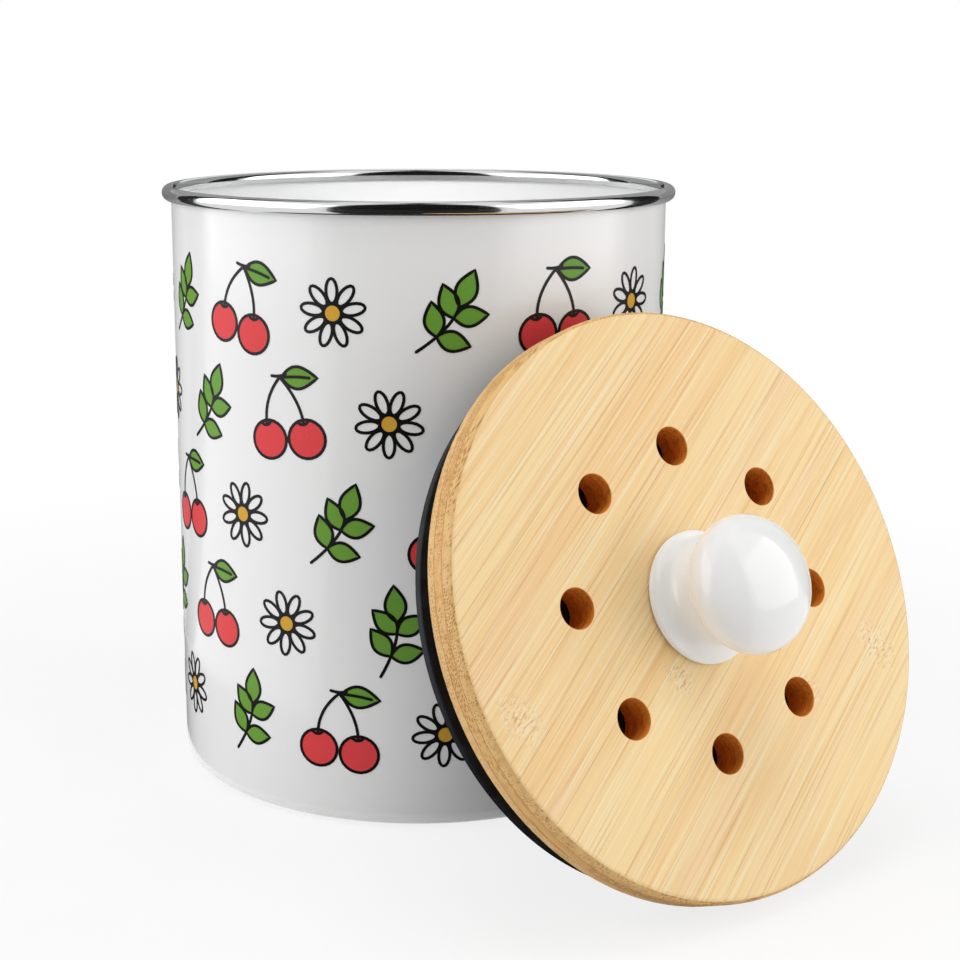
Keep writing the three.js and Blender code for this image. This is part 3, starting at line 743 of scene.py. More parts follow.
def zinc_material():
    # Steel, cold headed and zinc plated: bluish grey with a patchy shine
    grey = linear("A4A8AC")
    marks = [Mark("C4C6C6", 1.5, 1.5, 0.4, 0.6, 1.0)]
    return surfaced("Steel, zinc plated", grey, Gloss(0.25, 0.42, 1.5), marks, Metallic=1.0)


def seen(tree):
    """One for what is seen straight, mirrored or through glass, and zero for what only lights."""
    ray = add(tree, "LightPath").outputs
    share = ray["Is Camera Ray"]
    for kind in ("Is Glossy Ray", "Is Transmission Ray"):
        share = add(tree, "Math", {"Value": share, "Value_001": ray[kind]}, operation="MAXIMUM")
    return share


# How much of the floor's tone under the caddy is plain white, and from where to where, in metres
# from the middle, that grows to the whole
FLOOR_WHITE = 0.8
FLOOR_FADE = (0.16, 0.5)


def floor_material():
    # Matt white paper: it keeps the shadow, and fades to the white of the surroundings
    marks = [Mark("F0F0F0", 60, 60, 0.4, 0.6, 1.0)]
    made = surfaced("Paper, matt white", linear("F4F4F4"), Gloss(0.9, 0.96, 40), marks)
    tree = made.node_tree
    surface = input_of(tree, "OUTPUT_MATERIAL", "Surface")
    place = {"Vector": add(tree, "TexCoord").outputs["Object"]}
    fade = {
        "Value": add(tree, "VectorMath", place, operation="LENGTH"),
        "From Min": FLOOR_FADE[0],
        "From Max": FLOOR_FADE[1],
        "To Min": FLOOR_WHITE,
        "To Max": 1.0,
    }
    white = add(tree, "MapRange", fade, interpolation_type="SMOOTHSTEP")
    mixed = {
        "Fac": add(tree, "Math", {"Value": seen(tree), "Value_001": white}, operation="MULTIPLY"),
        "Shader": surface.links[0].from_socket,
        "Shader_001": add(tree, "Emission", {"Strength": 1.0}),
    }
    tree.links.new(result(add(tree, "MixShader", mixed)), surface)
    return made


# The canister

Bead = namedtuple("Bead", "centre halves")
# Where the can's curl ends outside, in degrees above level
CURL_END = 18


def rim_bead(inset=0.0):
    """The rolled rim's section, or one that lies inside it by an inset."""
    centre = ((BAND.inner + BAND.outer) / 2, (BAND.bottom + BAND.top) / 2)
    halves = ((BAND.outer - BAND.inner) / 2 - inset, (BAND.top - BAND.bottom) / 2 - inset)
    return Bead(centre, halves)


def canister_profile(can):
    """The drawn can: base with its pressed ring, corner, wall and the curl inside the band."""
    low = can.groove_radius - can.groove_width / 2
    high = can.groove_radius + can.groove_width / 2

    def side(lift, corner, curl_inset):
        base = [
            (0, lift),
            (low, lift),
            (low + can.groove_slope, lift + can.groove_depth),
            (high - can.groove_slope, lift + can.groove_depth),
            (high, lift),
        ]
        middle_radius = can.body_radius - can.corner_radius
        bend = arc((middle_radius, can.corner_radius), (corner, corner), -90, 0, 2 * ROUND_STEPS)
        bead = rim_bead(can.band_sheet + SEAT_GAP + curl_inset)
        return base + bend + arc(bead.centre, bead.halves, 180, CURL_END, 2 * ROUND_STEPS)

    outside = side(0, can.corner_radius, can.wall)
    inside = side(can.wall, can.corner_radius - can.wall, 0)
    return outside + inside[::-1]


def band_profile(can):
    """The band: a skirt in the mouth, over the curl, and tucked in against the wall."""
    bead = rim_bead()
    tuck = (bead.centre[0] - can.body_radius - SEAT_GAP) / bead.halves[0]
    end = -math.degrees(math.acos(-tuck))
    skirt = bead.centre[1] - can.band_skirt

    def roll(inset):
        inner = rim_bead(inset)
        return arc(inner.centre, inner.halves, end, 180, 5 * ROUND_STEPS)

    hem = [(BAND.inner, skirt), (BAND.inner + can.band_sheet, skirt)]
    return roll(0) + hem + roll(can.band_sheet)[::-1]


# The print: shapes in millimetres about a motif's own middle

def bend_points(start, control, end, steps=10):
    """Points on a curve from start to end that is drawn towards a control point."""
    a, b, c = Vector(start), Vector(control), Vector(end)
    shares = [step / steps for step in range(steps + 1)]
    return [(1 - t) ** 2 * a + 2 * t * (1 - t) * b + t * t * c for t in shares]


def oval(centre, halves, angle=0.0, steps=24):
    """An ellipse's outline, turned by an angle in degrees."""
    spin = Matrix.Rotation(math.radians(angle), 2)
    points = arc((0, 0), halves, 0, 360, steps)[:-1]
    return [Vector(centre) + spin @ Vector(point) for point in points]


# Below one, a leaf is widest nearer its base than its tip
LEAF_FULLNESS = 0.85


def leaf(base, length, width, angle, steps=12):
    """A pointed green leaf from its base, along an angle in degrees, with its outline."""
    spin = Matrix.Rotation(math.radians(angle), 2)
    shares = [step / steps for step in range(steps + 1)]
    bulge = [width / 2 * math.sin(math.pi * share ** LEAF_FULLNESS) for share in shares]
    upper = [Vector((length * share, half)) for share, half in zip(shares, bulge)]
    lower = [Vector((point.x, -point.y)) for point in upper[-2:0:-1]]
    outline = [Vector(base) + spin @ point for point in upper + lower]
    return [("green", outline), ("line", outline + outline[:1])]


def cherries():
    """Two cherries that hang from one twig, with a ribbed leaf."""
    joint = (2.4, 13.2)
    shapes = []
    for spot, control in (((-7.4, -6.2), (-6.0, 7.5)), ((7.0, -8.6), (8.0, 4.5))):
        centre = Vector(spot)
        fruit = oval(centre, (6.8, 6.5))
        dent = [centre + Vector(point) for point in arc((0.3, 7.0), (2.3, 2.1), 215, 325, 5)]
        stalk = bend_points(centre + Vector((0.3, 5.2)), control, joint)
        shapes += [("red", fruit), ("line", fruit + fruit[:1]), ("line", dent), ("line", stalk)]
    twig = bend_points((-0.6, 14.2), joint, (5.0, 13.7), 4)
    base, length, angle = (3.2, 13.0), 13.4, -12
    rib = bend_points(
        base, along(base, length * 0.4, angle + 6), along(base, length * 0.78, angle), 6
    )
    return shapes + [("line", twig), *leaf(base, length, 7.4, angle), ("line", rib)]


def sprig():
    """A bent stem with paired leaves and one at its tip."""
    stem = bend_points((-6.5, -14.0), (2.5, -4.0), (3.2, 3.5), 12)
    shapes = [("line", stem)]
    for index, spread in ((4, 58), (9, 52)):
        heading = math.degrees(math.atan2(*(stem[index + 1] - stem[index - 1]).yx))
        for side in (-1, 1):
            shapes += leaf(stem[index], 11.4, 6.4, heading + side * spread)
    return shapes + leaf(stem[-1], 12.6, 7.0, 82)


def daisy():
    """A daisy seen from above, with narrow looped petals round a full centre."""
    shapes = []
    for angle in evenly(9):
        petal = oval(along((0, 0), 7.2, angle), (4.0, 1.9), angle, 16)
        shapes.append(("line", petal + petal[:1]))
    centre = oval((0, 0), (3.1, 3.1), 0, 16)
    return [("ochre", centre), ("line", centre + centre[:1])] + shapes


def fill_faces(outline, curve):
    """Vertices and faces of a filled outline, in rings small enough to follow the wall."""
    centre = sum(outline, Vector((0, 0))) / len(outline)
    shares = (1.0, 0.66, 0.33)
    points = [centre + (point - centre) * share for share in shares for point in outline] + [centre]
    count = len(outline)
    faces = []
    for ring in range(len(shares) - 1):
        for index in range(count):
            after = (index + 1) % count
            near, far = ring * count, (ring + 1) * count
            faces.append((near + index, near + after, far + after, far + index))
    last = (len(shares) - 1) * count
    faces += [(last + index, last + (index + 1) % count, len(points) - 1) for index in range(count)]
    return [curve(point) for point in points], faces


# The round end of a drawn line, in shares of half its width: how far out, and how wide there
LINE_END = ((1.0, 0.3), (0.6, 0.8))


def line_faces(points, width, curve):
    """Vertices and faces of a drawn line, round at its ends unless it closes."""
    closed = (points[0] - points[-1]).length < width / 10
    if closed:
        points = points[:-1]
        widths = [width] * len(points)
    else:
        first = (points[0] - points[1]).normalized() * width / 2
        last = (points[-1] - points[-2]).normalized() * width / 2
        starts = [points[0] + first * reach for reach, _ in LINE_END]
        ends = [points[-1] + last * reach for reach, _ in LINE_END[::-1]]
        thin = [width * share for _, share in LINE_END]
        widths = thin + [width] * len(points) + thin[::-1]
        points = starts + points + ends
    count = len(points)
    vertices = []
    for index, point in enumerate(points):
        before = points[index - 1] if closed or index else point
        after = points[(index + 1) % count] if closed or index + 1 < count else point
        heading = (after - before).normalized()
        side = Vector((-heading.y, heading.x)) * widths[index] / 2
        vertices += [curve(point - side), curve(point + side)]
    faces = []
    for index in range(count if closed else count - 1):
        near, far = 2 * index, 2 * ((index + 1) % count)
        faces.append((near, far, far + 1, near + 1))
    return vertices, faces


# Puts neighbouring motifs at unlike points of a wave, in radians, so that their leans differ
LEAN_STEP = 2.4


def printed_sheets(can, design):
    """Vertices and faces of each colour of ink, on the outside of the can's wall."""
    kinds = (cherries(), daisy(), sprig())
    pitch = 2 * math.pi / design.columns
    row_step = (design.highest - design.lowest) / (design.rows - 1)
    sheets = {}
    for order in range(design.rows * design.columns):
        row, column = divmod(order, design.columns)
        spin = Matrix.Rotation(design.tilt * math.sin(LEAN_STEP * order), 2)
        angle = pitch * (column + row % 2 / 2)
        height = design.lowest + row * row_step
        for ink, points in kinds[(column + 2 * row + row // 2) % len(kinds)]:
            radius = can.body_radius + design.lift * (2 if ink == "line" else 1)

            def curve(point):
                flat = spin @ point * MM
                heading = angle + flat.x / can.body_radius
                foot = (radius * math.cos(heading), radius * math.sin(heading))
                return Vector((*foot, height + flat.y))

            if ink == "line":
                corners, new_faces = line_faces(points, design.line_width / MM, curve)
            else:
                corners, new_faces = fill_faces(points, curve)
            vertices, faces = sheets.setdefault(ink, ([], []))
            start = len(vertices)
            vertices += corners
            faces += [[start + corner for corner in face] for face in new_faces]
    return sheets


def ink_sheet(vertices, faces, thickness):
    """A thin closed sheet of ink, sunk a little into the wall, from the faces on its outer side."""
    mesh = bmesh.new()
    outer = [mesh.verts.new(vertex) for vertex in vertices]
    inner = []
    for vertex in vertices:
        share = 1 - thickness / vertex.xy.length
        inner.append(mesh.verts.new((vertex.x * share, vertex.y * share, vertex.z)))
    loops = [list(zip(face, face[1:] + face[:1])) for face in faces]
    uses = Counter(frozenset(edge) for loop in loops for edge in loop)
    for face, loop in zip(faces, loops):
        mesh.faces.new([outer[corner] for corner in face])
        mesh.faces.new([inner[corner] for corner in reversed(face)])
        for start, end in loop:
            if uses[frozenset((start, end))] == 1:
                mesh.faces.new((outer[end], outer[start], inner[start], inner[end]))
    bmesh.ops.recalc_face_normals(mesh, faces=mesh.faces)
    return mesh


# The board, the knob and the filter

VENT_COUNT = 8


def vent_cutters(lid):
    """The vents, each with a softened edge where it opens in the board's face."""
    radius, soft = lid.vent_radius, lid.vent_round
    lip = arc((radius + soft, BOARD_TOP - soft), (soft, soft), 180, 90, ROUND_STEPS)
    top = BOARD_TOP + OVERRUN
    profile = [(0, -OVERRUN), (radius, -OVERRUN), *lip, (radius + soft, top), (0, top)]
    spots = [along((0, 0), lid.vent_circle, angle) for angle in evenly(VENT_COUNT)]
    return [set_at(turned(profile, SMALL), spot) for spot in spots]


def pilot_cutters(lid):
    """The holes that the housing's screws are driven into."""
    return [
        post(lid.pilot_radius, -OVERRUN, span(screw).top + SEAT_GAP, middle(screw))
        for screw in SCREWS
    ]


def ply_mesh(ply, bottom_round, top_round, cutters):
    """One layer of the board with its holes."""
    edge = rounded_edge(ply.outer, ply.bottom, ply.top, bottom_round, top_round)
    return combined(turned([(0, ply.bottom), *edge, (0, ply.top)], LARGE), cutters, "DIFFERENCE")


# A ply's materials: its flat face, its edge and its drilled walls. A normal that rises by more
# than the share belongs to the face
FACE, EDGE, BORED = range(3)
FACE_RISE = 0.92


def ply_region(lid):
    """Tells a ply's faces apart by their slope and their place."""
    rim = lid.vent_circle + 2 * lid.vent_radius

    def region(polygon):
        if abs(polygon.normal.z) > FACE_RISE:
            return FACE
        return EDGE if polygon.center.xy.length > rim else BORED

    return region


# Where the hollow curve above the foot starts, in degrees
FLARE_START = -108


def knob_profile(lid):
    """Flared foot, hollow curve up to the waist, short neck and flattened ball."""
    edge = lid.foot_edge / 2
    foot = (lid.foot_radius - edge, KNOB.bottom + edge)
    head = KNOB.outer
    waist = KNOB.bottom + lid.waist_height
    flare = (lid.foot_radius - lid.waist_radius, lid.waist_height - lid.foot_edge)
    start = -math.degrees(math.acos(lid.waist_radius / head))
    centre = KNOB.top - lid.head_half_height
    socket = INSERT.outer + SEAT_GAP
    return [
        (0, INSERT.top + SEAT_GAP),
        (socket, INSERT.top + SEAT_GAP),
        (socket, KNOB.bottom),
        *arc(foot, (edge, edge), -90, 90, 2 * ROUND_STEPS),
        *arc((lid.foot_radius, waist), flare, FLARE_START, -180, 2 * ROUND_STEPS),
        *arc((0, centre), (head, lid.head_half_height), start, 90, 8 * ROUND_STEPS)[:-1],
        (0, KNOB.top),
    ]


def seal_profile(kit):
    """The seal: a body in the housing's groove, and a lip that flares to the can's wall."""
    wall = HOUSING.outer - kit.upper_flange
    body = wall + SEAT_GAP
    lip_inner = wall + kit.lower_flange + SEAT_GAP
    step = HOUSING.bottom + kit.flange_thickness + SEAT_GAP
    lip_top = SEAL.bottom + kit.lip_thickness
    return [
        (lip_inner, SEAL.bottom),
        *rounded_edge(SEAL.outer, SEAL.bottom, lip_top, kit.lip_round, kit.lip_round),
        (body + kit.seal_wall, lip_top + kit.undercut),
        (body + kit.seal_wall, SEAL.top),
        (body, SEAL.top),
        (body, step),
        (lip_inner, step),
    ]


# The bayonet, in degrees: where its lugs lie and how wide they are, the width of the stops and
# the play before them, and how far the cover turns
LUG_PLACES = evenly(3)
LUG_ANGLE = 30
STOP_ANGLE = 3
STOP_PLAY = 1
TWIST_ANGLE = TWIST["range_deg"][1]


def housing_mesh(kit, lid):
    """The moulded housing: plate, window, spokes and hub, ring wall, flanges and bayonet ledges."""
    wall = HOUSING.outer - kit.upper_flange
    pocket = wall - kit.wall
    plate_bottom = HOUSING.top - kit.plate
    flange_top = HOUSING.bottom + kit.flange_thickness
    ring = turned(
        [
            (kit.window_radius, plate_bottom),
            (pocket, plate_bottom),
            (pocket, HOUSING.bottom),
            (wall + kit.lower_flange, HOUSING.bottom),
            (wall + kit.lower_flange, flange_top),
            (wall, flange_top),
            (wall, plate_bottom),
            (HOUSING.outer, plate_bottom),
            (HOUSING.outer, HOUSING.top),
            (kit.window_radius, HOUSING.top),
        ],
        LARGE,
        closed=True,
    )
    hub_inner = kit.hub_radius - kit.hub_wall
    hub = tube(hub_inner, kit.hub_radius, plate_bottom, HOUSING.top, MEDIUM)
    start, end = kit.hub_radius - kit.hub_wall / 2, kit.window_radius + kit.hub_wall / 2
    half = kit.spoke_width / 2
    bar = [(start, -half), (end, -half), (end, half), (start, half)]
    cone = [
        (0, plate_bottom - OVERRUN),
        (kit.sink_radius, plate_bottom - OVERRUN),
        (kit.sink_radius, plate_bottom),
        (lid.pilot_radius, plate_bottom + kit.sink_depth),
        (lid.pilot_radius, HOUSING.top + OVERRUN),
        (0, HOUSING.top + OVERRUN),
    ]
    spokes, sinks = [], []
    for screw in SCREWS:
        spot = middle(screw)
        heading = math.atan2(spot.y, spot.x)
        spokes.append(moved(slab(bar, plate_bottom, HOUSING.top), Matrix.Rotation(heading, 4, "Z")))
        sinks.append(set_at(turned(cone, SMALL), spot))
    ledge_top = COVER.top - kit.lug_thickness - SEAT_GAP

    def inward(start, end, top):
        root = pocket + kit.wall / 2
        return sector(pocket - kit.lug_reach, root, start, end, HOUSING.bottom, top)

    ledges, stops = [], []
    for centre in LUG_PLACES:
        closed_stop = centre + LUG_ANGLE / 2 + STOP_PLAY
        open_stop = centre - LUG_ANGLE / 2 - TWIST_ANGLE - STOP_PLAY
        ledge_start = centre - LUG_ANGLE / 2 - STOP_ANGLE
        ledges.append(inward(ledge_start, closed_stop + STOP_ANGLE, ledge_top))
        stops.append(inward(closed_stop, closed_stop + STOP_ANGLE, COVER.top))
        stops.append(inward(open_stop - STOP_ANGLE, open_stop, COVER.top))
    mesh = ring
    for tools in ([hub], spokes, ledges, stops):
        mesh = combined(mesh, tools, "UNION")
    return softened(combined(mesh, sinks, "DIFFERENCE"), kit.moulded_edge)


SLOTS_PER_RING = 6


def cover_mesh(kit):
    """The slotted cover with its three lugs and the bar that turns it."""
    lug_radius = HOUSING.outer - kit.upper_flange - kit.wall - kit.running_gap
    radius = lug_radius - kit.lug_reach
    bottom = COVER.top - kit.cover_thickness
    disc = post(radius, bottom, COVER.top, segments=LARGE)
    slots = []
    half = kit.slot_width / 2
    low, high = bottom - OVERRUN, COVER.top + OVERRUN
    ring = kit.slot_first
    while ring + half < radius - kit.slot_border:
        web = math.degrees(kit.slot_bridge / ring) / 2
        for start in evenly(SLOTS_PER_RING):
            end = start + 360 / SLOTS_PER_RING - web
            slots.append(sector(ring - half, ring + half, start + web, end, low, high))
        ring += kit.slot_step
    lugs = []
    for centre in LUG_PLACES:
        start, end = centre - LUG_ANGLE / 2, centre + LUG_ANGLE / 2
        under = COVER.top - kit.lug_thickness
        lugs.append(sector(radius - kit.lug_reach, lug_radius, start, end, under, COVER.top))
    end = kit.grip_thickness / 2
    reach = kit.grip_length / 2 - end
    right = arc((reach, 0), (end, end), -90, 90, ROUND_STEPS)
    left = arc((-reach, 0), (end, end), 90, 270, ROUND_STEPS)
    grip = slab(right + left, COVER.bottom, COVER.top - kit.cover_thickness / 2)
    mesh = combined(combined(disc, slots, "DIFFERENCE"), lugs, "UNION")
    return softened(combined(mesh, [grip], "UNION"), kit.moulded_edge)


# Operators, one for each piece or group of like pieces

class CADDY_OT_canister(bpy.types.Operator):
    """Builds the enamelled steel can"""

    bl_idname = "caddy.canister"
    bl_label = "Enamelled Canister"

    def execute(self, context):
        mesh = turned(canister_profile(context.scene.caddy_canister), LARGE)
        materials, nodes = [enamel_material()], ["canister_shell"]
        piece("canister", mesh, CANISTER_PLACE, "canister", materials, nodes)
        return {"FINISHED"}


# What each ink's printed dots darken to
INK_MOTTLES = {"red": "D23A40", "green": "5E9130", "ochre": "C8922C", "line": "1E1E1E"}


class CADDY_OT_print(bpy.types.Operator):
    """Builds the printed fruit, flowers and sprigs, one sheet of ink for each colour"""

    bl_idname = "caddy.print"
    bl_label = "Printed Motifs"

    def execute(self, context):
        design = context.scene.caddy_print
        for ink, (vertices, faces) in printed_sheets(context.scene.caddy_canister, design).items():
            layers = 3 if ink == "line" else 2
            mesh = ink_sheet(vertices, faces, layers * design.lift)
            material = ink_material(ink, getattr(design, ink), INK_MOTTLES[ink])
            piece(f"print_{ink}", mesh, CANISTER_PLACE, "canister", [material])
        return {"FINISHED"}


class CADDY_OT_rim(bpy.types.Operator):
    """Builds the rolled steel band round the mouth"""

    bl_idname = "caddy.rim"
    bl_label = "Rim Band"

    def execute(self, context):
        mesh = turned(band_profile(context.scene.caddy_canister), LARGE, closed=True)
        materials, nodes = [rim_material()], ["rim_band"]
        piece("rim_roll", mesh, CANISTER_PLACE, "canister", materials, nodes)
        return {"FINISHED"}


class CADDY_OT_board(bpy.types.Operator):
    """Builds the three bamboo plies"""

    bl_idname = "caddy.board"
    bl_label = "Bamboo Board"

    def execute(self, context):
        lid = context.scene.caddy_lid
        plies = {"upper": UPPER_PLY, "core": CORE_PLY, "lower": LOWER_PLY}
        rounds = {"upper": (0, lid.top_round), "core": (0, 0), "lower": (lid.bottom_round, 0)}
        for edge in EDGES:
            ply = plies[edge.name]
            cutters = vent_cutters(lid) + [post(ply.inner, -OVERRUN, BOARD_TOP + OVERRUN)]
            if edge.name != "upper":
                cutters += pilot_cutters(lid)
            mesh = ply_mesh(ply, *rounds[edge.name], cutters)
            materials = [face_material(), edge_material(edge), bored_material()]
            name, nodes = f"bamboo_{edge.name}", [f"lid_{edge.name}_ply"]
            piece(name, mesh, LID_PLACE, "lid", materials, nodes, ply_region(lid))
        return {"FINISHED"}


# How far a glue line stays back from the board's edge
GLUE_RECESS = 0.03 * MM


class CADDY_OT_glue(bpy.types.Operator):
    """Builds the two glue lines between the plies"""

    bl_idname = "caddy.glue"
    bl_label = "Glue Lines"

    def execute(self, context):
        for name, below, above in (("lower", LOWER_PLY, CORE_PLY), ("upper", CORE_PLY, UPPER_PLY)):
            disc = post(below.outer - GLUE_RECESS, below.top, above.bottom, segments=LARGE)
            well = post(LOWER_PLY.inner, -OVERRUN, BOARD_TOP + OVERRUN)
            mesh = combined(disc, vent_cutters(context.scene.caddy_lid) + [well], "DIFFERENCE")
            piece(f"glue_line_{name}", mesh, LID_PLACE, "lid", [glue_material()])
        return {"FINISHED"}


class CADDY_OT_knob(bpy.types.Operator):
    """Builds the porcelain knob"""

    bl_idname = "caddy.knob"
    bl_label = "Porcelain Knob"

    def execute(self, context):
        mesh = turned(knob_profile(context.scene.caddy_lid), MEDIUM)
        materials, nodes = [porcelain_material()], ["knob"]
        piece("knob_body", mesh, LID_PLACE, "lid", materials, nodes)
        return {"FINISHED"}


class CADDY_OT_fixings(bpy.types.Operator):
    """Finishes the knob's insert, washer and screw, and the housing's four screws"""

    bl_idname = "caddy.fixings"
    bl_label = "Fixings"

    def execute(self, context):
        finishes = dict.fromkeys(("knob_washer", "knob_screw", *SCREWS), zinc_material())
        finishes["knob_insert"] = brass_material()
        for node, material in finishes.items():
            for holder in frame["nodes"][node].material_slots:
                holder.material = material
        return {"FINISHED"}


class CADDY_OT_housing(bpy.types.Operator):
    """Builds the moulded filter housing"""

    bl_idname = "caddy.housing"
    bl_label = "Filter Housing"

    def execute(self, context):
        mesh = housing_mesh(context.scene.caddy_filter, context.scene.caddy_lid)
        materials, nodes = [plastic_material()], ["filter_housing"]
        piece("housing_moulding", mesh, LID_PLACE, "lid", materials, nodes)
        return {"FINISHED"}


class CADDY_OT_seal(bpy.types.Operator):
    """Builds the silicone seal"""

    bl_idname = "caddy.seal"
    bl_label = "Seal"

    def execute(self, context):
        mesh = turned(seal_profile(context.scene.caddy_filter), LARGE, closed=True)
        materials, nodes = [silicone_material()], ["seal_ring"]
        piece("seal", mesh, LID_PLACE, "lid", materials, nodes)
        return {"FINISHED"}


class CADDY_OT_pad(bpy.types.Operator):
    """Builds the charcoal pad"""

    bl_idname = "caddy.pad"
    bl_label = "Charcoal Pad"

    def execute(self, context):
        soft = context.scene.caddy_filter.pad_round
        edge = rounded_edge(PAD.outer, PAD.bottom, PAD.top, soft, soft)
        mesh = turned([(0, PAD.bottom), *edge, (0, PAD.top)], LARGE)
        materials, nodes = [felt_material()], ["filter_pad"]
        made = piece("charcoal_pad", mesh, LID_PLACE, "lid", materials, nodes)
        return {"FINISHED"}


class CADDY_OT_cover(bpy.types.Operator):
    """Builds the slotted cover that turns in the housing"""

    bl_idname = "caddy.cover"
    bl_label = "Filter Cover"

    def execute(self, context):
        mesh = cover_mesh(context.scene.caddy_filter)
        materials, nodes = [plastic_material()], ["filter_cover"]
        piece("slotted_cover", mesh, LID_PLACE, "cover", materials, nodes)
        return {"FINISHED"}


# The stage, in metres and degrees

# Where the camera stands, in the caddy's frame
CAMERA_SPOT = Vector((-0.3873, -0.5352, 0.2542))

# A place round the caddy: zero degrees is the camera's side, and + is to its right
Spot = namedtuple("Spot", "angle distance height")
CADDY_MIDDLE = Spot(0, 0, 0.12)
FAR_INNER_WALL = Spot(180, 0.088, 0.175)

# The lamps: their sizes, where they stand, what they face, how narrow their light is, and
# whether the rim shows them. The gridded one lights the can's far inner wall
Softbox = namedtuple("Softbox", "name width height spot aim spread mirrored")
SOFTBOXES = (
    Softbox("left", 1.7, 1.4, Spot(-78, 1.25, 0.6), CADDY_MIDDLE, 180, True),
    Softbox("right", 1.5, 1.4, Spot(70, 1.3, 0.6), CADDY_MIDDLE, 180, True),
    Softbox("top", 0.9, 0.9, Spot(0, 0.15, 1.5), CADDY_MIDDLE, 180, False),
    Softbox("inside", 0.1, 0.1, Spot(0, 0.9, 1.3), FAR_INNER_WALL, 7, False),
)

# Boards that only mirrors see: their sides and their lower and upper edge in degrees, as the
# rim sees them, and their two tones; how far they stand, and their lift off the floor
BOARD_DISTANCE = 1.9
BOARD_LIFT = 4 * MM
BOARD_STEPS = 12
Flag = namedtuple("Flag", "name left right low high base fleck")
FLAGS = (
    Flag("front_flag", -38, 34, -50, 108, "040404", "080808"),
    Flag("left_flag", -130, -112, -50, 70, "080808", "101010"),
    Flag("right_flag", 104, 130, -50, 70, "040404", "080808"),
    Flag("back_flag", 175, 185, -14, 8, "1C1C1C", "202020"),
    Flag("back_upper_flag", 174, 186, 8, 15, "A4A4A4", "B0B0B0"),
    Flag("back_left_flag", 185.5, 229, -50, 14, "A4A4A4", "B0B0B0"),
    Flag("back_right_flag", 131, 174.5, -50, 14, "B0B0B0", "BCBCBC"),
    Flag("high_left_flag", 187, 229, 14.5, 62, "C4C4C4", "D0D0D0"),
    Flag("high_right_flag", 131, 173, 14.5, 62, "C4C4C4", "D0D0D0"),
)

# A dark ring on the floor round the can, which the underside of the rim shows: it puts painted
# shade, as a reflection, along the band's lower edge
RING_RADII = (0.092, 0.172)


def around(stage, spot):
    """A spot of the stage in the caddy's frame."""
    heading = Matrix.Rotation(math.radians(spot.angle) - stage.camera_turn, 3, "Z")
    return heading @ Vector((0, -spot.distance, 0)) + Vector((0, 0, spot.height))


def lamp_at(stage, box):
    """A soft area lamp."""
    lamp = bpy.data.lights.new(f"{box.name}_softbox", "AREA")
    lamp.shape = "RECTANGLE"
    lamp.size = box.width
    lamp.size_y = box.height
    lamp.energy = getattr(stage, box.name)
    lamp.spread = math.radians(box.spread)
    made = bpy.data.objects.new(lamp.name, lamp)
    bpy.context.scene.collection.objects.link(made)
    place = around(stage, box.spot)
    facing = (around(stage, box.aim) - place).to_track_quat("-Z", "Y")
    made.matrix_world = Matrix.Translation(place) @ facing.to_matrix().to_4x4()
    made.visible_camera = False
    made.visible_glossy = box.mirrored


def foam_board(name, mesh, base, fleck):
    """A board of the stage, kept out of all but the reflections."""
    # Foam board, matt: it gives the polished rim something darker than the white room to show
    marks = [Mark(fleck, 30, 30, 0.4, 0.6, 1.0)]
    material = surfaced(f"Foam board, {name}", linear(base), Gloss(0.9, 0.96, 30), marks)
    made = shown(name, mesh, [material])
    made.visible_camera = False
    made.visible_diffuse = False
    made.visible_shadow = False
    made.visible_transmission = False


def flag_panel(stage, flag):
    """A curved board that stops just above the floor."""
    mesh = bmesh.new()
    shares = [step / BOARD_STEPS for step in range(BOARD_STEPS + 1)]
    angles = [flag.left + (flag.right - flag.left) * share for share in shares]
    rows = []
    for share in shares:
        height = math.radians(flag.low + (flag.high - flag.low) * share)
        distance = BOARD_DISTANCE
        if height < 0:
            distance = min(distance, (BAND.top - BOARD_LIFT) / math.sin(-height))
        level = BAND.top + distance * math.sin(height)
        spots = [Spot(angle, distance * math.cos(height), level) for angle in angles]
        rows.append([mesh.verts.new(around(stage, spot)) for spot in spots])
    for lower, upper in zip(rows, rows[1:]):
        for corners in zip(lower, lower[1:], upper[1:], upper):
            mesh.faces.new(corners)
    foam_board(flag.name, mesh, flag.base, flag.fleck)


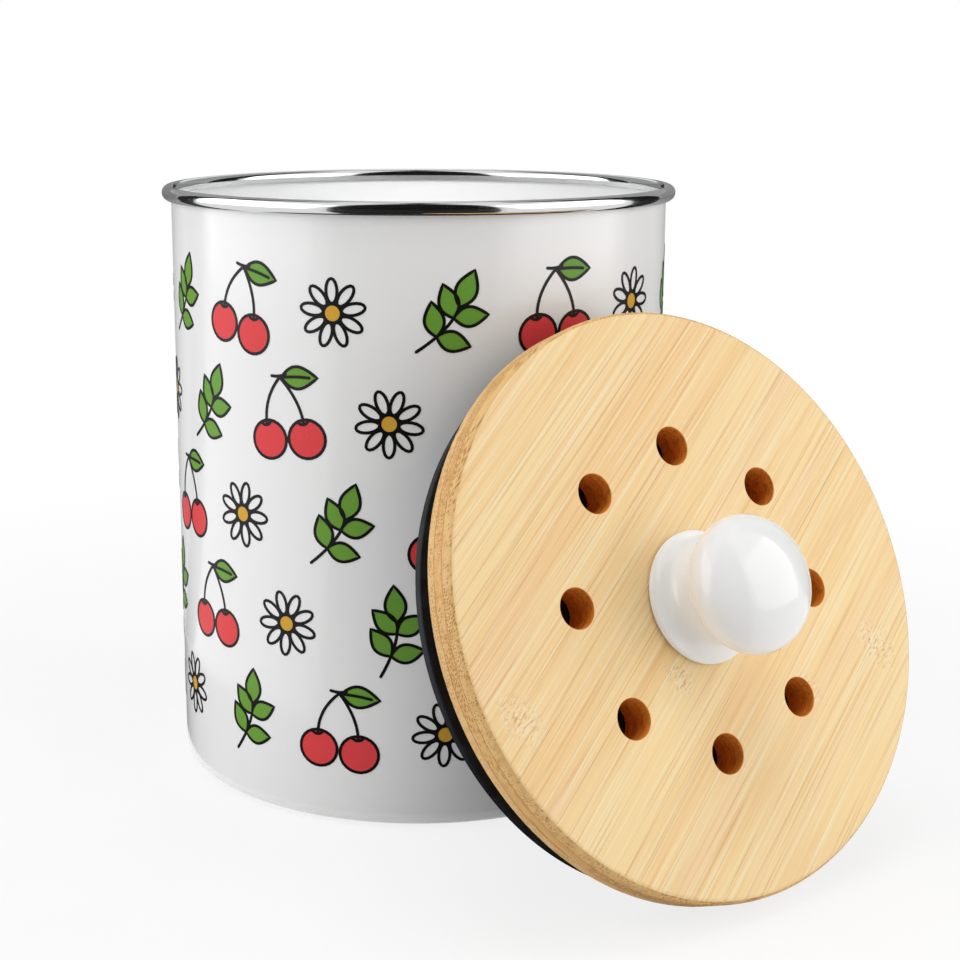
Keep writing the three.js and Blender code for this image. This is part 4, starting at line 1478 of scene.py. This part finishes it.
class CADDY_OT_stage(bpy.types.Operator):
    """Builds the camera, the floor, the surroundings and the light"""

    bl_idname = "caddy.stage"
    bl_label = "Stage"

    def execute(self, context):
        scene = context.scene
        stage = scene.caddy_stage
        self.camera(scene, stage)
        self.floor(stage)
        self.surroundings(scene, stage)
        for box in SOFTBOXES:
            lamp_at(stage, box)
        for flag in FLAGS:
            flag_panel(stage, flag)
        # The ring gives the rim's underside a painted reflection of shade along its lower edge
        ring = tube(*RING_RADII, BOARD_LIFT - MM, BOARD_LIFT, MEDIUM)
        foam_board("floor_ring", ring, "141414", "1C1C1C")
        return {"FINISHED"}

    def camera(self, scene, stage):
        lens = bpy.data.cameras.new("camera")
        lens.sensor_width = stage.sensor / MM
        lens.lens = stage.lens / MM
        lens.shift_x = stage.shift
        made = bpy.data.objects.new("camera", lens)
        scene.collection.objects.link(made)
        facing = Euler((math.pi / 2 - stage.camera_pitch, 0, -stage.camera_turn))
        made.matrix_world = Matrix.Translation(CAMERA_SPOT) @ facing.to_matrix().to_4x4()
        scene.camera = made

    def floor(self, stage):
        half = stage.floor_size / 2
        outline = [(-half, -half), (half, -half), (half, half), (-half, half)]
        shown("floor", slab(outline, -2 * SEAT_GAP, -SEAT_GAP), [floor_material()])

    def surroundings(self, scene, stage):
        # Even surroundings: what is seen or mirrored is white, and what lights is dimmer
        world = bpy.data.worlds.new("surroundings")
        world.use_nodes = True
        tree = world.node_tree
        tree.nodes.clear()
        light = add(tree, "Background", {"Color": linear("FFFFFF"), "Strength": stage.sky})
        white = add(tree, "Background", {"Color": linear("FFFFFF"), "Strength": 1.0})
        mixed = add(tree, "MixShader", {"Fac": seen(tree), "Shader": light, "Shader_001": white})
        add(tree, "OutputWorld", {"Surface": mixed})
        scene.world = world
        scene.view_settings.view_transform = "Standard"


SETTINGS = {
    "caddy_canister": CaddyCanisterSettings,
    "caddy_print": CaddyPrintSettings,
    "caddy_lid": CaddyLidSettings,
    "caddy_filter": CaddyFilterSettings,
    "caddy_stage": CaddyStageSettings,
}
OPERATORS = (
    CADDY_OT_stage,
    CADDY_OT_canister,
    CADDY_OT_print,
    CADDY_OT_rim,
    CADDY_OT_board,
    CADDY_OT_glue,
    CADDY_OT_knob,
    CADDY_OT_fixings,
    CADDY_OT_housing,
    CADDY_OT_seal,
    CADDY_OT_pad,
    CADDY_OT_cover,
)


class CADDY_PT_panel(bpy.types.Panel):
    """Lists the caddy's settings and its operators"""

    bl_idname = "CADDY_PT_panel"
    bl_label = "Compost Caddy"
    bl_space_type = "VIEW_3D"
    bl_region_type = "UI"
    bl_category = "Caddy"

    def draw(self, context):
        for name, settings in SETTINGS.items():
            box = self.layout.box()
            for field in settings.__annotations__:
                box.prop(getattr(context.scene, name), field)
        for operator in OPERATORS:
            self.layout.operator(operator.bl_idname)


def register():
    for name, settings in SETTINGS.items():
        bpy.utils.register_class(settings)
        setattr(bpy.types.Scene, name, PointerProperty(type=settings))
    for operator in OPERATORS:
        bpy.utils.register_class(operator)
    bpy.utils.register_class(CADDY_PT_panel)


def unregister():
    bpy.utils.unregister_class(CADDY_PT_panel)
    for operator in reversed(OPERATORS):
        bpy.utils.unregister_class(operator)
    for name, settings in reversed(SETTINGS.items()):
        delattr(bpy.types.Scene, name)
        bpy.utils.unregister_class(settings)


def main():
    register()
    for operator in OPERATORS:
        family, name = operator.bl_idname.split(".")
        getattr(getattr(bpy.ops, family), name)()


if __name__ == "__main__":
    main()
